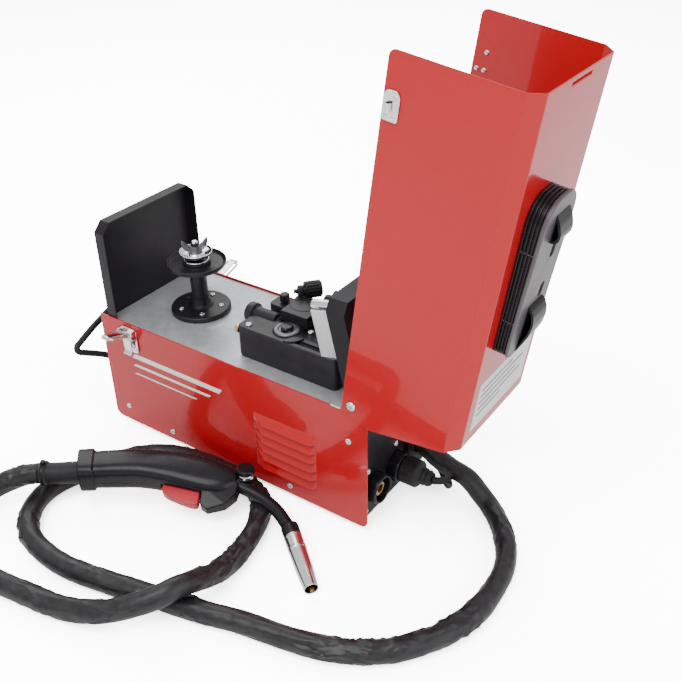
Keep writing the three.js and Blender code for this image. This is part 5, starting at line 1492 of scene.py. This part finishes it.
# A frame on the rolled grip, for the trigger and the block beside it
GRIP_ROLL = 14 * DEG
GRIP_ORIGIN = Vector((-140.5, 24.2, 31.6))
GRIP_ALONG = Vector((0.5, -0.866, -0.075)).normalized()
GRIP_OUT = TORCH_SIDE * math.cos(GRIP_ROLL) - WORLD_UP * math.sin(GRIP_ROLL)
GRIP_UP = WORLD_UP * math.cos(GRIP_ROLL) + TORCH_SIDE * math.sin(GRIP_ROLL)

# Boot stations: x, y, z, radius
BOOT = [
    (-211.8, 128.2, 31, 10.2), (-211.4, 127.6, 31, 11.9), (-210.6, 126.4, 31, 12.4),
    (-209.4, 124.4, 31, 12.4), (-208.6, 123.2, 31, 11.8), (-208.2, 122.6, 31.1, 10.9),
    (-204, 116, 31.4, 11.0), (-200, 109.6, 31.8, 11.1), (-196, 104, 32.1, 11.3),
    (-192.2, 98.0, 32.6, 11.5), (-186.6, 89.6, 33.2, 11.5)]

# Grip stations: x, y, z, half width, half height, roundness exponent, sideways offset,
# roll and yaw in degrees.  The collar is used as it stands, the rest is smoothed.
GRIP_COLLAR = [
    (-189.9, 96.4, 34.6, 17.6, 14.6, 0.5, 0, 0, 14),
    (-189.5, 95.8, 34.6, 19.1, 16.1, 0.5, 0, 0, 14),
    (-188.8, 94.8, 34.6, 19.6, 16.6, 0.5, 0, 0, 14),
    (-181.3, 84.2, 35.0, 19.6, 16.6, 0.5, 0, 2, 12),
    (-180.7, 83.2, 35.0, 19.0, 16.0, 0.52, 0, 2, 12),
    (-180.2, 82.4, 35.0, 17.9, 15.1, 0.58, 0, 2, 11)]
GRIP_BODY = [
    (-179.2, 81.0, 35.0, 17.6, 15.1, 0.6, 0.0, 2, 11),
    (-168, 66, 35.6, 17.7, 15.7, 0.6, 0.6, 4, 6),
    (-153, 45, 35.4, 18, 16.0, 0.62, 1.0, 6, 2),
    (-139, 22, 33.6, 19.0, 16.3, 0.64, 2, 10, -2),
    (-128, 1, 31.4, 20, 16, 0.66, 3, 12, -4),
    (-119, -17, 29.4, 20.0, 15.4, 0.7, 4, 14, -4),
    (-112.4, -31.4, 27.6, 17, 13.6, 0.78, 3.6, 14, 0),
    (-107.8, -41, 26, 11.4, 11, 0.95, 1.6, 14, 0)]

# Corners of the faceted block ahead of the trigger, as along, out, up on the grip
GRIP_NOSE = [
    (41, 20, 10), (41, 37, 5), (41, 37, -7), (48, 42, 4), (48, 42, -6), (65, 35, 6),
    (65, 35, -7), (75, 22, 8), (75, 22, -8), (76, 10, 10), (76, 10, -9), (41, 18, -9)]

# Trigger stations: along, inner and outer reach, half height, corner radius
TRIGGER = [
    (0.8, 17, 24.0, 4.2, 1.0), (1.4, 17, 25.6, 4.8, 1.5), (3, 17, 28.0, 5, 1.5),
    (6, 17, 30.0, 5, 1.5), (9, 17, 31.5, 5, 1.5), (13, 17, 33.0, 5, 1.5),
    (18, 17, 34.8, 5, 1.5), (24, 17.6, 36.5, 5, 1.5), (30, 18.4, 38.0, 5, 1.5),
    (35, 19.4, 38.6, 5, 1.5), (37.4, 20, 38.4, 5, 1.5), (38.4, 20, 37.4, 4.8, 1.5),
    (38.9, 20.4, 36.4, 4.2, 1.0)]

NECK_PATH = [
    (-111.6, -34.5, 25.4), (-110.6, -46, 23.6), (-108.8, -61, 21.6), (-108.6, -77, 19.0),
    (-111.0, -92.6, 16.2), (-116.8, -108, 13), (-124.2, -121.2, 10.8), (-130.5, -130, 9.4)]
NOZZLE_BASE = Vector((-126.8, -125.2, 10.3))
NOZZLE_AXIS = (Vector((-165, -174.6, 3)) - NOZZLE_BASE).normalized()
HANGER = (-101.0, -47.0, 31.4)
HANGER_AXIS = (0.05, -0.05, 1)


def boot():
    """rubber boot with a bead at its hose end and a cable tie round it"""
    rings = []
    for x, y, z, radius in BOOT:
        angles = [2 * math.pi * k / 40 for k in range(40)]
        rings.append([Vector((x, y, z)) + TORCH_SIDE * (radius * math.cos(a))
                      + WORLD_UP * (radius * math.sin(a)) for a in angles])
    piece("boot_sleeve", [loft(rings)], "rubber", replaces="torch_boot", smooth=50)

    centre = Vector((-210.0, 125.4, 31))
    axis = (Vector((-192.4, 98.4, 32.4)) - Vector(BOOT[0][:3])).normalized()
    across, _, along = basis(axis)
    band = lathe([(11.6, -1.6), (12.9, -1.6), (12.9, 1.6), (11.6, 1.6), (11.6, -1.6)], centre,
                 axis, sides=56, rounding=0.3)
    lock = box(-2.6, 2.6, 11.8, 16.2, -2.2, 2.2,
               lambda x, y, z: centre + across * x + WORLD_UP * y + along * z, radius=0.5)
    piece("cable_tie", [band, lock], "gloss", smooth=40)


def on_grip(along, out, up):
    return GRIP_ORIGIN + GRIP_ALONG * along + GRIP_OUT * out + GRIP_UP * up


def grip_ring(x, y, z, half_width, half_height, exponent, offset, roll, yaw):
    side = TORCH_SIDE * math.cos(yaw * DEG) + TORCH_AHEAD * math.sin(yaw * DEG)
    out = side * math.cos(roll * DEG) - WORLD_UP * math.sin(roll * DEG)
    up = WORLD_UP * math.cos(roll * DEG) + side * math.sin(roll * DEG)
    centre = Vector((x, y, z)) + out * offset
    angles = [2 * math.pi * k / 72 for k in range(72)]
    return [centre + out * (half_width * signed_power(math.cos(a), exponent))
            + up * (half_height * signed_power(math.sin(a), exponent)) for a in angles]


def grip_stations():
    """the collar, then the body with three Catmull-Rom steps between stations"""
    def cubic(before, start, end, after, t):
        return 0.5 * (2 * start + (end - before) * t
                      + (2 * before - 5 * start + 4 * end - after) * t * t
                      + (3 * start - before - 3 * end + after) * t ** 3)

    stations = list(GRIP_COLLAR)
    padded = [GRIP_BODY[0]] + GRIP_BODY + [GRIP_BODY[-1]]
    for i in range(len(GRIP_BODY) - 1):
        for k in range(3):
            stations.append([cubic(*values, k / 3.0) for values in zip(*padded[i:i + 4])])
    return stations + [GRIP_BODY[-1]]


def grip_nose():
    """the hull of the nose corners with softened edges"""
    hull = bmesh.new()
    for corner in GRIP_NOSE:
        hull.verts.new(on_grip(*corner))
    bmesh.ops.convex_hull(hull, input=hull.verts)
    loose = [v for v in hull.verts if not v.link_faces]
    bmesh.ops.delete(hull, geom=loose, context="VERTS")
    bmesh.ops.dissolve_limit(hull, angle_limit=3 * DEG, verts=hull.verts, edges=hull.edges)
    bmesh.ops.bevel(hull, geom=list(hull.edges) + list(hull.verts), offset=0.9, segments=3,
                    affect="EDGES", profile=0.5)
    hull.verts.index_update()
    part = ([v.co.copy() for v in hull.verts],
            [tuple(v.index for v in face.verts) for face in hull.faces])
    hull.free()
    return part


def grip_half(name, whole, is_upper, node):
    """one half of the grip, 0.14 mm clear of the parting plane"""
    fall = Vector((0.51, -0.86, -0.045)).normalized()
    normal = fall.cross(GRIP_OUT).normalized()
    if normal.z < 0:
        normal = -normal
    gap = 0.14 if is_upper else -0.14
    work = bmesh.new()
    work.from_mesh(whole.data)
    cut = bmesh.ops.bisect_plane(
        work, geom=work.verts[:] + work.edges[:] + work.faces[:],
        plane_co=(Vector((-139, 22, 33.4)) + normal * gap) * MM, plane_no=normal,
        clear_inner=is_upper, clear_outer=not is_upper)
    rim = [item for item in cut["geom_cut"] if isinstance(item, bmesh.types.BMEdge)]
    bmesh.ops.holes_fill(work, edges=rim, sides=0)
    bmesh.ops.recalc_face_normals(work, faces=work.faces)
    mesh = bpy.data.meshes.new(name)
    work.to_mesh(mesh)
    work.free()
    ob = new_object(name, mesh)
    mesh.materials.append(MATERIALS["gloss"])
    finish(ob, "gloss", replaces=node, smooth=32, bevel=0.3, bevel_angle=40)


def grip():
    whole = bare("handle_whole", [loft([grip_ring(*s) for s in grip_stations()])], "gloss")
    boolean(whole, "UNION", [grip_nose()])
    trigger_slot = prism([(-1.0, 11), (40.2, 11), (40.2, 60), (-1.0, 60)], -6.2, 6.2, on_grip,
                         chamfer=0.1)
    boolean(whole, "DIFFERENCE", [trigger_slot])
    grip_half("grip_upper", whole, True, "torch_handle_top")
    grip_half("grip_lower", whole, False, "torch_handle_bottom")
    bpy.data.objects.remove(whole)


def trigger():
    rings = []
    for along, inner, outer, half_height, radius in TRIGGER:
        outline = rounded_rect(inner, outer, -half_height, half_height, radius, 5)
        rings.append([on_grip(along, out, up) for out, up in outline])
    piece("trigger_blade", [loft(rings)], "red_plastic", "torch_trigger", "torch_trigger",
          smooth=40, bevel=0.3)


def neck_and_nozzle():
    neck = tube(NECK_PATH, lambda share: 7.6 if share < 0.1 else 6.5, step=1.6, sides=36)
    piece("swan_neck", [neck], "gloss", replaces="torch_neck", smooth=50)
    turned("neck_sleeve", "gloss",
           [(6.6, -14), (8.2, -13.4), (8.8, -11.6), (8.8, -1.4), (8.2, -0.3), (6.6, -0.3),
            (6.6, -14)],
           NOZZLE_BASE, NOZZLE_AXIS, sides=48, rounding=0.4)
    turned("gas_nozzle", "chrome",
           [(7.4, 0), (8.6, 0), (9.0, 0.8), (9.0, 2.4), (8.8, 3.0), (8.8, 14.2), (9.1, 14.8),
            (9.1, 17.2), (8.7, 18.0), (8.5, 34), (8.0, 46), (7.2, 58), (7.0, 62.5),
            (6.3, 62.5), (6.3, 60), (7.2, 34), (7.5, 14), (7.4, 13), (7.4, 0)],
           NOZZLE_BASE, NOZZLE_AXIS, replaces="torch_nozzle", smooth=40, sides=80,
           rounding=0.4)
    turned("copper_tip", "brass",
           [(0, 2), (3.2, 2), (3.2, 14), (4.6, 16), (4.6, 34), (3.2, 36), (3.2, 54), (2, 57),
            (0.6, 57), (0.6, 52), (0, 52)],
           NOZZLE_BASE, NOZZLE_AXIS, replaces="contact_tip", sides=32, rounding=0.3)


def hanger():
    """stud on top of the neck root, with a bright ring"""
    turned("hanger_knob", "gloss",
           [(0, -8), (6.6, -8), (6.6, 4.4), (8.9, 4.4), (9.3, 5.2), (9.3, 9.2), (8.4, 10.2),
            (0, 10.4)],
           HANGER, HANGER_AXIS, rounding=0.4)
    turned("hanger_ring", "chrome",
           [(6.5, -1.4), (8.4, -1.2), (8.8, 0.2), (8.8, 3.2), (8.2, 4.3), (6.5, 4.3),
            (6.5, -1.4)],
           HANGER, HANGER_AXIS, rounding=0.4)


boot()
grip()
trigger()
neck_and_nozzle()
hanger()

# ============================================================ mains cord and rear panel
CORD_PATH = [
    (-44, 152, 62), (-44, 164, 62), (-50, 178, 64), (-64, 190, 72), (-80, 197.5, 80),
    (-87.4, 200.4, 84.6), (-86, 203, 88.6), (-78, 204, 92), (-50, 204, 104), (-22, 204, 112),
    (6, 206, 104), (26, 212, 78), (36, 222, 40), (42, 232, 8), (58, 236, -1),
    (84, 225.9, -1.6)]
PLUG_TURN = -21 * DEG
# Plug stations: distance along, half width, half height, middle z
PLUG = [
    (91, 4.2, 3.2, -1.4), (93, 5.4, 4.0, -1.2), (97, 6.0, 4.6, -0.6), (100, 8.0, 5.4, 0.4),
    (103, 12.2, 6.6, 1.6), (107, 13.8, 7.2, 2.1), (120, 14.0, 7.4, 2.2), (126, 13.4, 7.2, 2.2),
    (128, 12.6, 6.6, 2.2)]


def mains_plug():
    cos_turn, sin_turn = math.cos(PLUG_TURN), math.sin(PLUG_TURN)

    def on_plug(along, across, z):
        return Vector((84 + (along - 94) * cos_turn - across * sin_turn,
                       226 + (along - 94) * sin_turn + across * cos_turn, z))

    rings = []
    for along, half_width, half_height, middle in PLUG:
        outline = rounded_rect(-half_width, half_width, -half_height, half_height,
                               min(half_width, half_height) * 0.55)
        rings.append([on_plug(along, across, middle + z) for across, z in outline])
    piece("plug_moulding", [loft(rings)], "rubber", smooth=40, bevel=0.4)
    pin = [(0, 0), (2.2, 0), (2.2, 17.6), (1.2, 19.6), (0, 19.8)]
    pins = [lathe(pin, on_plug(126.5, across, 2), (cos_turn, sin_turn, 0), sides=28,
                  rounding=0.3) for across in (-8, 8)]
    piece("plug_pins", pins, "brass", smooth=40)


def rear_furniture():
    turned("cord_gland", "rubber",
           [(3.7, 0.2), (9.0, 0.2), (9.0, 2.2), (7.6, 3.4), (6.4, 9.0), (5.2, 13.0),
            (3.9, 13.4), (3.7, 13.0), (3.7, 0.2)],
           (-44, REAR_Y, 62), BACK, sides=48)
    screws("rear_screws", [(x, REAR_Y + 0.04, z) for x, z in (
        (-61, 12), (61, 12), (-61, 120), (61, 120), (-16, 36), (52, 36), (-16, 104),
        (52, 104))], BACK, 3.2, 1.7)
    turned("gas_inlet", "brass",
           [(2.2, -3), (4.2, -3), (4.2, 0.2), (6.6, 0.2), (6.6, 3.2), (4.4, 3.4), (4.0, 6),
            (4.8, 7.5), (3.8, 9.4), (4.6, 11), (3.4, 13.4), (2.2, 13.4), (2.2, -3)],
           (-44, REAR_Y, 30), BACK, sides=40, rounding=0.3)
    turned("fan_hub_cap", "grey_plate", [(0, 156.1), (12, 156.1), (11.4, 156.9), (0, 157.1)],
           (18, 0, 70), BACK, "fan_rotor", sides=40, rounding=0.2)


piece("cord_jacket", [tube(CORD_PATH, 3.55, step=1.8, sides=22)], "rubber",
      replaces="mains_cord")
mains_plug()
rear_furniture()

# ============================================================ stage (metres)
FLOOR_HALF, FLOOR_Z = 6.0, -0.0062
SEEN_BRIGHTNESS = 7.5      # of floor and studio, as the camera sees them
WORLD_STRENGTH = 0.95      # of the studio, as it lights the object


def floor_material():
    """a pale floor, shown to the camera brighter than it lights the object"""
    material, tree, principled = new_material("pale_floor")
    output = principled.outputs[0].links[0].to_node
    vector = object_coords(tree)
    clouds = noise_texture(tree, vector, scale=2.0, detail=3)
    fine = noise_texture(tree, vector, scale=600, detail=2)
    for key, value in {
        "Base Color": ramp(tree, clouds, (0.93, 0.93, 0.93), (0.95, 0.95, 0.95)),
        "Roughness": 0.75,
        "Specular IOR Level": 0.2,
        "Emission Color": (1, 1, 1, 1),
        "Emission Strength": 0.16,
        "Normal": bump(tree, fine, strength=0.05, distance=0.00005),
    }.items():
        set_input(tree, principled, key, value)
    seen_colour = (SEEN_BRIGHTNESS, SEEN_BRIGHTNESS, SEEN_BRIGHTNESS * 1.005, 1)
    bright = add_node(tree, "BsdfDiffuse", {"Color": seen_colour}).outputs[0]
    glow = add_node(tree, "Emission", {"Strength": 1.0}).outputs[0]
    seen = add_node(tree, "AddShader", {0: bright, 1: glow}).outputs[0]
    camera_ray = add_node(tree, "LightPath").outputs["Is Camera Ray"]
    mix = add_node(tree, "MixShader", {0: camera_ray, 1: principled.outputs[0], 2: seen})
    tree.links.new(mix.outputs[0], output.inputs[0])
    return material


def floor():
    material = floor_material()
    mesh = bpy.data.meshes.new("floor")
    corners = ((-1, -1), (1, -1), (1, 1), (-1, 1))
    mesh.from_pydata([(x * FLOOR_HALF, y * FLOOR_HALF, FLOOR_Z) for x, y in corners], [],
                     [(0, 1, 2, 3)])
    ob = new_object("floor", mesh)
    mesh.materials.append(material)


def studio_world():
    """white surroundings, as bright as the floor when seen, so there is no hard horizon"""
    world = bpy.data.worlds.new("studio")
    bpy.context.scene.world = world
    world.use_nodes = True
    tree = world.node_tree
    background = tree.nodes["Background"]
    camera_ray = add_node(tree, "LightPath").outputs["Is Camera Ray"]
    strength = map_range(tree, camera_ray, span=(0.0, 1.0),
                         to=(WORLD_STRENGTH, SEEN_BRIGHTNESS))
    background.inputs[0].default_value = (1.0, 1.0, 1.0, 1)
    background.inputs[1].default_value = WORLD_STRENGTH
    tree.links.new(strength, background.inputs[1])


def area_light(name, location, target, size, power):
    light = bpy.data.lights.new(name, "AREA")
    light.energy = power
    light.size = size
    ob = new_object(name, light)
    ob.location = location
    aim = Vector(target) - Vector(location)
    ob.rotation_euler = aim.to_track_quat("-Z", "Y").to_euler()


def camera():
    data = bpy.data.cameras.new("camera")
    ob = new_object("camera", data)
    axes = Matrix(((0.55880, -0.82926, -0.00869),     # right
                   (0.44584, 0.29156, 0.84630),       # up
                   (-0.69926, -0.47679, 0.53264)))    # backward
    place = Matrix.Translation((-0.6258, -0.5353, 0.6427))
    ob.matrix_world = place @ axes.transposed().to_4x4()
    data.sensor_width = 36.0
    data.lens = 48.50
    data.shift_x = -0.01496
    data.shift_y = -0.00806
    data.clip_start = 0.02
    data.clip_end = 60
    bpy.context.scene.camera = ob


floor()
studio_world()
area_light("key", location=(-1.0, -0.2, 1.9), target=(0, 0, 0.1), size=1.3, power=30)
area_light("fill", location=(-0.2, -1.8, 0.8), target=(0, 0, 0.15), size=1.2, power=9)
area_light("back", location=(0.9, 1.2, 1.6), target=(0, 0, 0.1), size=1.4, power=18)
camera()
